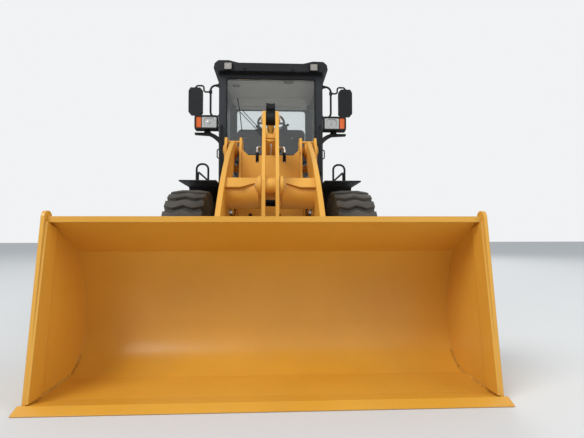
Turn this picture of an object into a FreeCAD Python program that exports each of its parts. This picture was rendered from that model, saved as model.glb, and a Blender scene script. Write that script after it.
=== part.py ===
import FreeCAD, Part
import math
import os
import Sketcher
from FreeCAD import Placement, Rotation, Vector

# Wheel loader of the three tonne class, articulated, with a Z-bar front linkage.
# It faces -Y, +Z is up, +X is the driver's left. The origin is on the ground
# under the middle of its length and width. All sizes are in millimetres.

doc = FreeCAD.newDocument("WheelLoader")
sheet = doc.addObject("Spreadsheet::Sheet", "Sizes")


class Size:
    # a length, with its number and the formula that it stands for
    def __init__(self, text, value):
        self.text = text
        self.value = value

    def joined(self, mark, other, value):
        return Size("(%s %s %s)" % (self.text, mark, size(other).text), value)

    def __add__(self, other):
        return self.joined("+", other, self.value + size(other).value)

    def __radd__(self, other):
        return size(other) + self

    def __sub__(self, other):
        return self.joined("-", other, self.value - size(other).value)

    def __rsub__(self, other):
        return size(other) - self

    def __mul__(self, other):
        return self.joined("*", other, self.value * size(other).value)

    def __rmul__(self, other):
        return size(other) * self

    def __truediv__(self, other):
        return self.joined("/", other, self.value / size(other).value)

    def __neg__(self):
        return -1 * self


def size(given):
    return given if isinstance(given, Size) else Size("(%r)" % given, given)


class Sizes:
    pass


dim = Sizes()
rowCount = 0


def measures(heading, rows):
    # one block of sizes: name, value, what it is
    global rowCount
    rowCount += 1
    sheet.set("A%d" % rowCount, heading)
    for name, value, note in rows:
        rowCount += 1
        cell = "B%d" % rowCount
        sheet.set("A%d" % rowCount, name)
        sheet.set(cell, str(value))
        sheet.setAlias(cell, name)
        sheet.set("C%d" % rowCount, note)
        setattr(dim, name, Size("Sizes." + name, value))


measures("stance", (
    ("tyre_radius", 675, "outer radius over the lugs"),
    ("tyre_width", 420, "section width"),
    ("half_track", 830, "wheel centre from the middle"),
    ("front_axle", -1150, "front axle, along Y"),
    ("rear_axle", 1700, "rear axle, along Y"),
    ("hitch", 275, "steering pivot, along Y"),
    ("edge_reach", -3550, "tip of the cutting edge, along Y"),
    ("tail_reach", 3550, "back of the counterweight, along Y"),
    ("seat_gap", 0.3, "air between round faces that seat on each other"),
    ("side_gap", 3, "air beside a rod eye or a swinging plate"),
    ("pin_fit", 0.05, "radial fit of a pin in its bore"),
))
measures("wheels", (
    ("bead_radius", 330, "rim seat"),
    ("flange_radius", 356, "rim flange"),
    ("rim_half", 150, "half the width between the flanges"),
    ("rim_wall", 18, "rim barrel and flange"),
    ("disc_wall", 20, "wheel disc"),
    ("hub_radius", 150, "hub behind the disc"),
    ("cap_radius", 132, "planetary cover in front of the disc"),
    ("cap_depth", 110, "planetary cover, from the disc out"),
    ("shoulder_radius", 640, "tread between the lugs"),
    ("tread_half", 180, "half the tread width"),
    ("lug_count", 26, "lugs round a tyre"),
    ("lug_foot", 12, "how deep a lug is sunk in the tread"),
    ("lug_half", 4, "half the width of a lug, in degrees round the tyre"),
))
measures("axles", (
    ("axle_end", 640, "end of the axle tube, along X"),
    ("axle_tube", 105, "radius of the axle tube"),
    ("axle_bowl", 270, "radius of the differential housing"),
    ("shaft_radius", 38, "propeller shaft"),
))
measures("front frame", (
    ("inner_plate", 323, "inner face of the inner plates, along X"),
    ("plate", 27, "thickness of the frame plates"),
    ("outer_plate", 516, "outer face of the outer plates, along X"),
    ("tower_top", 1972, "top of the boom towers"),
    ("frame_floor", 800, "underside over the front axle"),
    ("boom_pin_y", -850, "boom pivot, along Y"),
    ("boom_pin_z", 1840, "boom pivot, height"),
    ("boom_pin", 45, "radius of the boom pivot pin"),
    ("lift_base_y", -350, "base pin of the lift cylinders, along Y"),
    ("lift_base_z", 950, "base pin of the lift cylinders, height"),
    ("tilt_base_y", -750, "base pin of the tilt cylinder, along Y"),
    ("tilt_base_z", 1860, "base pin of the tilt cylinder, height"),
    ("hitch_pin", 40, "radius of the steering pivot pins"),
    ("hitch_lug", 40, "thickness of the steering lugs"),
    ("hitch_low", 600, "underside of the lower front lug"),
    ("hitch_high", 1060, "underside of the upper front lug"),
    ("hitch_round", 120, "radius of the lug ends"),
))
measures("boom", (
    ("arm_x", 405, "inner face of a boom arm"),
    ("arm_plate", 45, "thickness of a boom arm"),
    ("bucket_pin_y", -2600, "bucket pivot, along Y"),
    ("bucket_pin_z", 300, "bucket pivot, height"),
    ("cross_y", -1720, "cross tube, along Y"),
    ("cross_z", 1260, "cross tube, height"),
    ("cross_radius", 145, "radius of the cross tube"),
    ("neck_radius", 60, "radius of the cross tube behind the rocker"),
    ("rocker_pin_y", -1990, "rocker pivot, along Y"),
    ("rocker_pin_z", 1300, "rocker pivot, height"),
    ("lift_eye_y", -1450, "lift cylinder pin on the boom, along Y"),
    ("lift_eye_z", 1130, "lift cylinder pin on the boom, height"),
    ("boss_radius", 95, "boss of the boom ends"),
    ("lobe_radius", 70, "lobe of a boom arm round the lift cylinder pin"),
))
measures("rocker and link", (
    ("rocker_half", 76, "outer face of the rocker plates, along X"),
    ("rocker_plate", 32, "thickness of the rocker plates"),
    ("tilt_eye_y", -1720, "tilt cylinder pin on the rocker, along Y"),
    ("tilt_eye_z", 1965, "tilt cylinder pin on the rocker, height"),
    ("link_pin_y", -2020, "link pin on the rocker, along Y"),
    ("link_pin_z", 660, "link pin on the rocker, height"),
    ("link_eye_y", -2720, "link pin on the bucket, along Y"),
    ("link_eye_z", 600, "link pin on the bucket, height"),
    ("small_pin", 32, "radius of the linkage pins"),
    ("rocker_round", 72, "radius of the rocker ends"),
))
measures("bucket", (
    ("bucket_half", 1215, "outer face of the side plates, along X"),
    ("edge_half", 1230, "half the length of the cutting edge"),
    ("shell", 16, "thickness of the bucket shell"),
    ("side_plate", 20, "thickness of the side plates"),
    ("edge_plate", 28, "thickness of the cutting edge"),
    ("bucket_rest", 2, "gap between bucket and ground at rest"),
))


def bound(made, name, length):
    made.setExpression(name, size(length).text)


def box(label, xs, ys, zs):
    made = doc.addObject("Part::Box", label)
    sides = (("Length", "x", xs), ("Width", "y", ys), ("Height", "z", zs))
    for length, axis, (low, high) in sides:
        bound(made, length, size(high) - low)
        bound(made, "Placement.Base." + axis, low)
    return made


turned = {
    "X": Rotation(Vector(0, 1, 0), 90),
    "Y": Rotation(Vector(1, 0, 0), -90),
    "Z": Rotation(),
}


def rod(label, axis, radius, start, end, centre):
    # a cylinder along one axis; centre gives the two other coordinates in order
    made = doc.addObject("Part::Cylinder", label)
    made.Placement = Placement(Vector(), turned[axis])
    bound(made, "Radius", radius)
    bound(made, "Height", size(end) - start)
    others = [name for name in "xyz" if name != axis.lower()]
    bound(made, "Placement.Base." + axis.lower(), start)
    for name, place in zip(others, centre):
        bound(made, "Placement.Base." + name, place)
    return made


planes = {
    "YZ": (Rotation(Vector(1, 1, 1), 120), "x", Vector(1, 0, 0)),
    "XZ": (Rotation(Vector(1, 0, 0), 90), "y", Vector(0, 1, 0)),
    "XY": (Rotation(), "z", Vector(0, 0, 1)),
}


def outline(label, plane, level, path):
    # a closed outline; each corner is (u, v), and (u, v, "via") is a point that
    # the arc between its two neighbours passes through
    rotation, axis, _ = planes[plane]
    sketch = doc.addObject("Sketcher::SketchObject", label)
    sketch.Placement = Placement(Vector(), rotation)
    bound(sketch, "Placement.Base." + axis, level)
    corners = [point for point in path if len(point) == 2]
    vias = {}
    for index, point in enumerate(path):
        if len(point) == 3:
            vias[len([p for p in path[:index] if len(p) == 2]) - 1] = point[:2]

    def spot(point):
        return Vector(size(point[0]).value, size(point[1]).value, 0)

    edges = []
    ends = []
    for index, corner in enumerate(corners):
        first, last = spot(corner), spot(corners[(index + 1) % len(corners)])
        ends.append((1, 2))
        if index in vias:
            middle = spot(vias[index])
            if (middle - first).cross(last - middle).z < 0:
                # arcs run anticlockwise, so this one runs from its far end
                first, last = last, first
                ends[-1] = (2, 1)
            edges.append(sketch.addGeometry(Part.Arc(first, middle, last), False))
        else:
            edges.append(sketch.addGeometry(Part.LineSegment(first, last), False))
    rules = []
    formulas = {}

    def pin(geometry, end, point):
        for kind, axis_line, length in zip(("DistanceX", "DistanceY"), (-2, -1), point):
            if abs(size(length).value) < 1e-9:
                rules.append(Sketcher.Constraint("PointOnObject", geometry, end, axis_line))
                continue
            formulas[len(rules)] = size(length).text
            rules.append(Sketcher.Constraint(kind, -1, 1, geometry, end, size(length).value))

    for index, corner in enumerate(corners):
        before = (index - 1) % len(corners)
        pin(edges[index], ends[index][0], corner)
        meet = (edges[before], ends[before][1], edges[index], ends[index][0])
        rules.append(Sketcher.Constraint("Coincident", *meet))
    for index, via in vias.items():
        mark = sketch.addGeometry(Part.Point(spot(via)), True)
        pin(mark, 1, via)
        rules.append(Sketcher.Constraint("PointOnObject", mark, 1, edges[index]))
    sketch.addConstraint(rules)
    for number, formula in formulas.items():
        sketch.setExpression("Constraints[%d]" % number, formula)
    return sketch


def plate(label, plane, low, high, path):
    # an outline drawn out from one level to another
    made = doc.addObject("Part::Extrusion", label)
    made.Base = outline(label + "_outline", plane, low, path)
    made.DirMode = "Custom"
    made.Dir = planes[plane][2]
    bound(made, "LengthFwd", size(high) - low)
    made.Solid = True
    return made


def turning(label, path, centre_y, centre_z):
    # an outline in X and radius, turned about a line along X
    raised = [(point[0], size(point[1]) + centre_z) + tuple(point[2:]) for point in path]
    made = doc.addObject("Part::Revolution", label)
    made.Source = outline(label + "_outline", "XZ", centre_y, raised)
    made.Axis = Vector(1, 0, 0)
    bound(made, "Base.y", centre_y)
    bound(made, "Base.z", centre_z)
    made.Angle = 360
    made.Solid = True
    return made


def joined(label, pieces):
    made = doc.addObject("Part::MultiFuse", label)
    made.Shapes = pieces
    return made


def without(label, base, tools):
    made = doc.addObject("Part::Cut", label)
    made.Base = base
    made.Tool = tools[0] if len(tools) == 1 else joined(label + "_tools", tools)
    return made


nodes = []


def node(label, made):
    made.Label = label
    nodes.append(made)
    return made


def both(low, high):
    # the same span on the left and on the right
    return ((1, (low, high)), (-1, (-size(high), -size(low))))


def tread_lugs():
    # the wavy bars of the tread, flat-faced, round the X axis; a row gives the place across the
    # tread, the lean round the tyre in degrees, and how far the foot and the crown lie inwards
    lean_low, lean_high = -1.7, 2.0
    reach = dim.tread_half.value + 6
    rows = ((-1, lean_low, 38, 16), (-0.5, lean_high, 0, 0), (0, lean_low, 0, 0), (0.5, lean_high, 0, 0),
            (1, lean_low, 38, 16))
    half = dim.lug_half.value
    # the lowest corners stand level on the ground on both sides of the wheel's lowest line
    middle = (lean_low + lean_high) / 2
    crown = dim.tyre_radius.value / math.cos(math.radians(half - (lean_high - lean_low) / 2))
    foot = (dim.shoulder_radius - dim.lug_foot).value
    lugs = []
    for index in range(dim.lug_count.value):
        base = 360 / dim.lug_count.value * index - 90 - middle
        rings = []
        for share, lean, foot_drop, crown_drop in rows:
            ring = []
            for radius, turn in ((foot - foot_drop, -half), (crown - crown_drop, -half),
                                 (crown - crown_drop, half), (foot - foot_drop, half)):
                angle = math.radians(base + lean + turn)
                ring.append(Vector(share * reach, radius * math.cos(angle), radius * math.sin(angle)))
            rings.append(ring)
        faces = [Part.Face(Part.makePolygon(ring + ring[:1])) for ring in (rings[0], rings[-1])]
        for near, far in zip(rings, rings[1:]):
            for corner in range(4):
                after = (corner + 1) % 4
                for three in ((near[corner], near[after], far[after]),
                              (near[corner], far[after], far[corner])):
                    faces.append(Part.Face(Part.makePolygon(list(three) + [three[0]])))
        lug = Part.Solid(Part.Shell(faces))
        lug.fixTolerance(1e-5)
        if lug.Volume < 0:
            lug.reverse()
        lugs.append(lug)
    return Part.makeCompound(lugs)


lug_shape = tread_lugs()


def wheel(label, side, centre_y):
    # tyre and rim of one wheel; the outline is given outwards from the wheel's middle
    def along(offset):
        return side * (dim.half_track + offset)

    def drawn(path):
        return [(along(point[0]),) + tuple(point[1:]) for point in path]

    seat = dim.bead_radius + dim.seat_gap
    belly = dim.tyre_width / 2
    rise = dim.flange_radius + 6
    wall = [(dim.rim_half, seat), (dim.rim_half, rise), (belly - 16, rise + 48), (belly, rise + 120),
            (belly - 4, rise + 190), (dim.tread_half + 4, dim.shoulder_radius - 34),
            (dim.tread_half - 14, dim.shoulder_radius)]
    tyre = [(-x, radius) for x, radius in wall] + wall[::-1]
    carcass = turning("carcass_" + label, drawn(tyre), centre_y, dim.tyre_radius)
    lugs = doc.addObject("Part::Feature", "lugs_" + label)
    lugs.Shape = lug_shape
    bound(lugs, "Placement.Base.x", side * dim.half_track)
    bound(lugs, "Placement.Base.y", centre_y)
    bound(lugs, "Placement.Base.z", dim.tyre_radius)
    node("tyre_" + label, joined("tyre_" + label, [carcass, lugs]))
    inside = dim.bead_radius - dim.rim_wall
    lip = dim.rim_half + dim.seat_gap
    back = dim.axle_end + dim.seat_gap - dim.half_track
    rim = [(back, 0), (back, dim.hub_radius), (0, dim.hub_radius), (0, 205), (42, inside),
           (-lip - dim.rim_wall, inside), (-lip - dim.rim_wall, dim.flange_radius), (-lip, dim.flange_radius),
           (-lip, dim.bead_radius), (lip, dim.bead_radius), (lip, dim.flange_radius),
           (lip + dim.rim_wall, dim.flange_radius), (lip + dim.rim_wall, inside),
           (42 + dim.disc_wall, inside), (dim.disc_wall, 205), (dim.disc_wall, dim.cap_radius),
           (dim.cap_depth, dim.cap_radius - 6), (dim.cap_depth + 12, dim.cap_radius - 30),
           (dim.cap_depth + 12, 0)]
    node("rim_" + label, turning("rim_" + label, drawn(rim), centre_y, dim.tyre_radius))


for label, side, centre_y in (("front_left", 1, dim.front_axle), ("front_right", -1, dim.front_axle),
                              ("rear_left", 1, dim.rear_axle), ("rear_right", -1, dim.rear_axle)):
    wheel(label, side, centre_y)


def axle(label, centre_y, pad_top, shaft_start, shaft_end, pad_x):
    end = dim.axle_end
    half = [(end, 120), (end - 40, 150), (end - 80, dim.axle_tube), (330, dim.axle_tube + 8),
            (200, dim.axle_bowl - 35), (90, dim.axle_bowl)]
    path = [(end, 0)] + half + [(-size(x), r) for x, r in reversed(half)] + [(-end, 0)]
    parts = [turning(label + "_housing", path, centre_y, dim.tyre_radius)]
    for side, span in both(*pad_x):
        parts.append(box(label + "_pad", span, (centre_y - 90, centre_y + 90), (dim.tyre_radius, pad_top)))
    parts.append(rod(label + "_shaft", "Y", dim.shaft_radius, shaft_start, shaft_end,
                     (0, dim.tyre_radius + 40)))
    if shaft_end.value > centre_y.value:
        nose = (centre_y + 200, centre_y + 400)
    else:
        nose = (centre_y - 400, centre_y - 200)
    parts.append(rod(label + "_nose", "Y", 88, nose[0], nose[1], (0, dim.tyre_radius + 40)))
    node(label, joined(label, parts))


measures("running gear", (
    ("front_shaft_end", -120, "rear end of the front propeller shaft"),
    ("rear_frame_floor", 830, "underside of the rear frame over the axle"),
    ("gearbox_back", 1180, "rear face of the gearbox, along Y"),
))
inner_out = dim.inner_plate + dim.plate
outer_in = dim.outer_plate - dim.plate
axle("front_axle", dim.front_axle, dim.frame_floor, dim.front_axle + 200, dim.front_shaft_end,
     (dim.inner_plate, dim.outer_plate))

# Front frame: two pairs of upright plates, the cross plates between them and the steering lugs.
tower = dim.boom_pin_y
inner_path = [(-60, dim.hitch_low), (-60, 1120), (-440, 1160), (tower + 210, 1500), (tower + 150, 1860),
              (tower + 118, dim.tower_top), (tower - 80, dim.tower_top), (tower - 130, 1870),
              (tower - 190, 1560), (-1330, 1230), (-1420, 1140), (-1420, 820), (-1330, dim.frame_floor),
              (-1000, dim.frame_floor), (-760, dim.hitch_low)]
outer_path = [(-250, 860), (-250, 1080), (-430, 1160), (tower + 210, 1500), (tower + 150, 1860),
              (tower + 118, dim.tower_top), (tower - 80, dim.tower_top), (tower - 130, 1870),
              (tower - 160, 1500), (-1180, 1160), (-1240, 900), (-1240, dim.frame_floor),
              (-1000, dim.frame_floor), (-560, 800)]
front_parts = []
for side, span in both(dim.inner_plate, inner_out):
    front_parts.append(plate("inner_plate", "YZ", span[0], span[1], inner_path))
for side, span in both(outer_in, dim.outer_plate):
    front_parts.append(plate("outer_plate", "YZ", span[0], span[1], outer_path))
for side, span in both(inner_out, outer_in):
    front_parts += [
        box("tower_cap", span, (tower + 82, tower + 118), (dim.tower_top - 20, dim.tower_top)),
        rod("tower_tube", "X", 42, span[0], span[1], (tower + 110, 1650)),
        box("tower_floor", span, (-1240, -600), (dim.frame_floor, dim.frame_floor + dim.plate)),
        rod("boom_pin", "X", dim.boom_pin - dim.pin_fit, span[0], span[1], (dim.boom_pin_y, dim.boom_pin_z)),
        rod("lift_base_pin", "X", dim.small_pin, span[0], span[1], (dim.lift_base_y, dim.lift_base_z)),
    ]
for side, span in both(dim.outer_plate, dim.outer_plate + 18):
    front_parts.append(rod("pin_cap", "X", 62, span[0], span[1], (dim.boom_pin_y, dim.boom_pin_z)))
web = (-dim.inner_plate, dim.inner_plate)
face_path = [(-dim.inner_plate, 1300), (-dim.inner_plate, 1830), (-250, 1760), (-168, 1760), (-168, 1690),
             (-150, 1672, "via"), (-132, 1690), (-132, 1760), (132, 1760), (132, 1690), (150, 1672, "via"),
             (168, 1690), (168, 1760), (250, 1760), (dim.inner_plate, 1830), (dim.inner_plate, 1300)]
front_parts += [
    plate("face_plate", "XZ", tower - 150, tower - 128, face_path),
    box("chin_plate", web, (-1420, -1396), (820, 1160)),
    box("belly_plate", web, (-1396, -900), (965, 985)),
    box("brow_plate", web, (-1396, -1120), (1140, 1160)),
    box("tilt_beam", web, (tower - 120, tower + 150), (1560, 1680)),
    box("back_plate", web, (-90, -60), (dim.hitch_low + dim.hitch_lug, dim.hitch_high)),
]
measures("tilt cylinder", (
    ("tilt_eye_half", 43.7, "half the width of the tilt cylinder eyes"),
    ("tilt_lug", 28, "thickness of the tilt base lugs"),
    ("tilt_barrel", 74, "radius of the tilt barrel"),
    ("tilt_rod", 36, "radius of the tilt rod"),
    ("tilt_barrel_end", 562, "length of the tilt barrel from its base pin"),
    ("tilt_rod_start", 412, "inner end of the tilt rod from the base pin"),
    ("tilt_eye", 60, "radius of the tilt cylinder eyes"),
))
lug_in = dim.tilt_eye_half + dim.seat_gap
for side, span in both(lug_in, lug_in + dim.tilt_lug):
    lug_path = [(tower + 5, 1680), (dim.tilt_base_y - 78, dim.tilt_base_z + 6),
                (dim.tilt_base_y, dim.tilt_base_z + 78, "via"), (dim.tilt_base_y + 78, dim.tilt_base_z + 6),
                (tower + 150, 1680)]
    front_parts.append(plate("tilt_lug", "YZ", span[0], span[1], lug_path))
pin_end = lug_in + dim.tilt_lug + 12
front_parts.append(rod("tilt_pin", "X", dim.small_pin - dim.pin_fit, -pin_end, pin_end,
                       (dim.tilt_base_y, dim.tilt_base_z)))
for level in (dim.hitch_low, dim.hitch_high):
    lug = [(-dim.inner_plate, -300), (-dim.inner_plate, -60), (-dim.hitch_round - 25, dim.hitch - 120),
           (-dim.hitch_round, dim.hitch), (0, dim.hitch + dim.hitch_round, "via"),
           (dim.hitch_round, dim.hitch),
           (dim.hitch_round + 25, dim.hitch - 120), (dim.inner_plate, -60), (dim.inner_plate, -300)]
    front_parts.append(plate("hitch_lug", "XY", level, level + dim.hitch_lug, lug))
measures("steering", (
    ("steer_pin_x", 440, "steering rod pin on the front frame, along X"),
    ("steer_pin_y", -110, "steering rod pin on the front frame, along Y"),
    ("steer_base_x", 280, "steering barrel pin on the rear frame, along X"),
    ("steer_base_y", 720, "steering barrel pin on the rear frame, along Y"),
    ("steer_z", 850, "height of the steering cylinders"),
    ("steer_eye_half", 26, "half the height of the steering eyes"),
    ("steer_lug", 20, "thickness of the steering cylinder lugs"),
    ("steer_barrel", 42, "radius of the steering barrels"),
    ("steer_barrel_end", 510, "length of a steering barrel from its pin"),
    ("steer_rod_start", 274, "inner end of a steering rod from the base pin"),
    ("steer_rod", 22, "radius of the steering rods"),
    ("steer_eye", 42, "radius of the steering eyes"),
    ("steer_pin", 22, "radius of the steering cylinder pins"),
))
low_lug = (dim.steer_z - dim.steer_eye_half - 1 - dim.steer_lug, dim.steer_z - dim.steer_eye_half - 1)
high_lug = (dim.steer_z + dim.steer_eye_half + 1, dim.steer_z + dim.steer_eye_half + 1 + dim.steer_lug)
for side, span in both(inner_out, dim.steer_pin_x + 44):
    for low, high in (low_lug, high_lug):
        front_parts.append(box("steer_ear", span, (dim.steer_pin_y - 52, dim.steer_pin_y + 38), (low, high)))
for side in (1, -1):
    spot = (side * dim.steer_pin_x, dim.steer_pin_y)
    front_parts.append(rod("steer_pin_foot", "Z", dim.steer_pin, low_lug[0] - 14, low_lug[1], spot))
    front_parts.append(rod("steer_pin_head", "Z", dim.steer_pin, high_lug[0], high_lug[1] + 14, spot))
front_tools = [
    rod("pivot_bore", "Z", dim.hitch_pin, dim.hitch_low - 10, dim.hitch_high + 60, (0, dim.hitch)),
    rod("shaft_way", "Y", 110, -100, -50, (0, dim.tyre_radius + 40)),
]
node("front_frame", without("front_frame", joined("front_frame_raw", front_parts), front_tools))


# Boom: two curved arms joined by the cross tube, with lugs that carry the rocker.
arm_out = dim.arm_x + dim.arm_plate
back_y, back_z = dim.boom_pin_y, dim.boom_pin_z
nose_y, nose_z = dim.bucket_pin_y, dim.bucket_pin_z
arm_path = [(back_y - 30, back_z + 100), (-1720, 1490, "via"), (nose_y - 92, nose_z + 26),
            (nose_y - 62, nose_z - 78, "via"), (nose_y + 40, nose_z - 88), (-1640, 1070, "via"),
            (back_y - 20, back_z - 105), (back_y + 104, back_z + 20, "via")]
lift_y, lift_z, lobe = dim.lift_eye_y, dim.lift_eye_z, dim.lobe_radius
lobe_path = [(lift_y - lobe - 30, lift_z + 40), (lift_y - lobe + 12, lift_z - 34),
             (lift_y, lift_z - lobe, "via"),
             (lift_y + lobe - 4, lift_z + 24), (lift_y + lobe, lift_z + 180),
             (lift_y - lobe + 20, lift_z + 180)]
boom_parts = []
for side, span in both(dim.arm_x, arm_out):
    boom_parts.append(plate("arm", "YZ", span[0], span[1], arm_path))
    boom_parts.append(plate("lift_lobe", "YZ", span[0], span[1], lobe_path))
    collar = (dim.arm_x - 18, arm_out + 18)
    ends = collar if side > 0 else (-collar[1], -collar[0])
    boom_parts.append(rod("nose_boss", "X", dim.boss_radius - 25, ends[0], ends[1], (nose_y, nose_z)))
    collar = (dim.arm_x - 22, arm_out + 22)
    ends = collar if side > 0 else (-collar[1], -collar[0])
    boom_parts.append(rod("tail_boss", "X", dim.boss_radius - 10, ends[0], ends[1], (back_y, back_z)))
rocker_in = dim.rocker_half - dim.rocker_plate
lug_x = dim.rocker_half + dim.side_gap
measures("boom lugs", (
    ("rocker_lug", 30, "thickness of the rocker lugs"),
    ("rocker_boss", 70, "radius of the rocker pivot boss"),
))
for side, span in both(lug_x, lug_x + dim.rocker_lug):
    lug_path = [(dim.cross_y + 60, dim.cross_z - 125), (dim.cross_y + 60, dim.cross_z + 125),
                (dim.rocker_pin_y + 30, dim.rocker_pin_z + 82),
                (dim.rocker_pin_y - 84, dim.rocker_pin_z, "via"),
                (dim.rocker_pin_y + 30, dim.rocker_pin_z - 78)]
    boom_parts.append(plate("rocker_lug", "YZ", span[0], span[1], lug_path))
for side, span in both(lug_x, dim.arm_x):
    boom_parts.append(rod("cross_tube", "X", dim.cross_radius, span[0], span[1], (dim.cross_y, dim.cross_z)))
    # a flat plate over the front of the tube, cut back beside the lugs
    shelf = [(dim.cross_y - 80, dim.cross_z + 136), (dim.cross_y - 175, dim.cross_z + 41),
             (dim.cross_y - 164, dim.cross_z + 30), (dim.cross_y - 69, dim.cross_z + 125)]
    corner = [(side * x, z) for x, z in ((60, dim.cross_z - 60), (60, dim.cross_z + 76),
                                         (150, dim.cross_z + 76), (345, dim.cross_z + 12),
                                         (345, dim.cross_z - 60))]
    notch = plate("shelf_notch", "XZ", dim.cross_y - 220, dim.cross_y - 40, corner)
    boom_parts.append(without("shelf", plate("shelf_raw", "YZ", span[0], span[1], shelf), [notch]))
boom_parts += [
    rod("cross_neck", "X", dim.neck_radius, -lug_x, lug_x, (dim.cross_y, dim.cross_z)),
    rod("rocker_pin", "X", dim.small_pin - dim.pin_fit, -lug_x - 50, lug_x + 50,
        (dim.rocker_pin_y, dim.rocker_pin_z)),
]
boom_tools = []
for side, span in both(dim.arm_x - 60, arm_out + 60):
    boom_tools.append(rod("boom_bore", "X", dim.boom_pin, span[0], span[1], (back_y, back_z)))
    boom_tools.append(rod("nose_bore", "X", dim.small_pin, span[0], span[1], (nose_y, nose_z)))
node("boom", without("boom", joined("boom_raw", boom_parts), boom_tools))

# Rocker: two plates side by side, open at the ends for the rod eye and the link.
measures("rocker details", (
    ("rocker_web_z", 1790, "cross web of the rocker, height"),
))
rocker_path = [
    (dim.tilt_eye_y - 70, dim.tilt_eye_z + 18), (dim.tilt_eye_y, dim.tilt_eye_z + dim.rocker_round, "via"),
    (dim.tilt_eye_y + 70, dim.tilt_eye_z - 18), (dim.rocker_pin_y + 105, dim.rocker_pin_z + 30),
    (dim.rocker_pin_y + 98, dim.rocker_pin_z - 40),
    (dim.link_pin_y + 68, dim.link_pin_z + 20), (dim.link_pin_y, dim.link_pin_z - dim.rocker_round, "via"),
    (dim.link_pin_y - 68, dim.link_pin_z + 20), (dim.rocker_pin_y - 95, dim.rocker_pin_z - 20),
    (dim.rocker_pin_y - 90, dim.rocker_pin_z + 40)]
rocker_parts = []
for side, span in both(rocker_in, dim.rocker_half):
    rocker_parts.append(plate("rocker_plate", "YZ", span[0], span[1], rocker_path))
for side, span in both(dim.rocker_half - 2, dim.rocker_half + 14):
    rocker_parts.append(rod("tilt_pin_cap", "X", 40, span[0], span[1], (dim.tilt_eye_y, dim.tilt_eye_z)))
    rocker_parts.append(rod("link_pin_cap", "X", 40, span[0], span[1], (dim.link_pin_y, dim.link_pin_z)))
rocker_parts += [
    rod("rocker_hub", "X", dim.rocker_boss, -dim.rocker_half, dim.rocker_half,
        (dim.rocker_pin_y, dim.rocker_pin_z)),
    box("rocker_web", (-rocker_in, rocker_in), (-1850, -1810), (dim.rocker_web_z - 40, dim.rocker_web_z)),
]
rocker_bore = [rod("rocker_bore", "X", dim.small_pin, -dim.rocker_half - 5, dim.rocker_half + 5,
                   (dim.rocker_pin_y, dim.rocker_pin_z))]
node("rocker", without("rocker", joined("rocker_raw", rocker_parts), rocker_bore))

# Link from the rocker to the bucket, drawn flat and laid along the line of its two pins.
link_half = rocker_in - dim.side_gap


def bar(label, pins, half, wide, eye, bore):
    # a flat bar with two round ends, between two pins in the YZ plane
    (y0, z0), (y1, z1) = pins
    lean = math.atan2(size(z1).value - size(z0).value, size(y1).value - size(y0).value)
    up_y, up_z = -math.sin(lean) * wide.value, math.cos(lean) * wide.value
    parts = [plate(label + "_shank", "YZ", -half, half,
                   [(y0 + up_y, z0 + up_z), (y1 + up_y, z1 + up_z), (y1 - up_y, z1 - up_z),
                    (y0 - up_y, z0 - up_z)])]
    tools = []
    for y, z in pins:
        parts.append(rod(label + "_eye", "X", eye, -half, half, (y, z)))
        tools.append(rod(label + "_bore", "X", bore, -half - 5, half + 5, (y, z)))
    return without(label, joined(label + "_raw", parts), tools)


measures("link", (
    ("link_wide", 44, "half the height of the link"),
    ("link_eye", 66, "radius of the link eyes"),
))
node("link", bar("link", ((dim.link_pin_y, dim.link_pin_z), (dim.link_eye_y, dim.link_eye_z)),
                 link_half, dim.link_wide, dim.link_eye, dim.small_pin))

# Bucket: a rolled shell between two side plates, with pivot ears on its back.
floor = dim.bucket_rest
shell = dim.shell
outer_skin = [(dim.edge_reach + 170, floor), (-3050, floor), (-2870, 110, "via"), (-2800, 300),
              (-2830, 560, "via"), (-2925, 780), (-3290, 955)]
inner_skin = [(-3290, 955 - shell), (-2937, 780 - shell), (-2830 - shell, 560, "via"), (-2800 - shell, 300),
              (-2876, 118, "via"), (-3050, floor + shell), (dim.edge_reach + 170, floor + shell)]
side_path = [(dim.edge_reach + 70, floor), (-3050, floor), (-2870, 110, "via"), (-2800, 300),
             (-2830, 560, "via"), (-2925, 780), (-3262, 942), (-3268, 975), (-3330, 990, "via"), (-3345, 960)]
side_in = dim.bucket_half - dim.side_plate
bucket_parts = [plate("bucket_shell", "YZ", -side_in, side_in, outer_skin + inner_skin)]
for side, span in both(side_in, dim.bucket_half):
    bucket_parts.append(plate("bucket_side", "YZ", span[0], span[1], side_path))
    doubler = [(dim.edge_reach + 70, floor + 30), (dim.edge_reach + 200, floor + 30), (-3228, 900),
               (-3337, 940)]
    strip = (side_in - 14, side_in) if side > 0 else (-side_in, -side_in + 14)
    bucket_parts.append(plate("side_doubler", "YZ", strip[0], strip[1], doubler))
bucket_parts.append(box("lip_bar", (-side_in, side_in), (-3322, -3280), (935, 968)))
measures("bucket ears", (
    ("bucket_ear", 30, "thickness of the pivot ears"),
    ("link_ear_in", 47, "inner face of the link ears, along X"),
))
ear_gap = 18 + dim.side_gap
for side in (1, -1):
    for start in (dim.arm_x - ear_gap - dim.bucket_ear, arm_out + ear_gap):
        ends = (start, start + dim.bucket_ear) if side > 0 else (-start - dim.bucket_ear, -start)
        ear = [(-2833, 180), (nose_y + 16, nose_z - 80), (nose_y + 82, nose_z, "via"),
               (nose_y + 16, nose_z + 80),
               (-2833, 540), (-2815, 450), (-2807, 350), (-2812, 250)]
        bucket_parts.append(plate("pivot_ear", "YZ", ends[0], ends[1], ear))
    pin_ends = (dim.arm_x - ear_gap - dim.bucket_ear, arm_out + ear_gap + dim.bucket_ear)
    pin_ends = pin_ends if side > 0 else (-pin_ends[1], -pin_ends[0])
    bucket_parts.append(rod("pivot_pin", "X", dim.small_pin - dim.pin_fit, pin_ends[0], pin_ends[1],
                            (nose_y, nose_z)))
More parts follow.
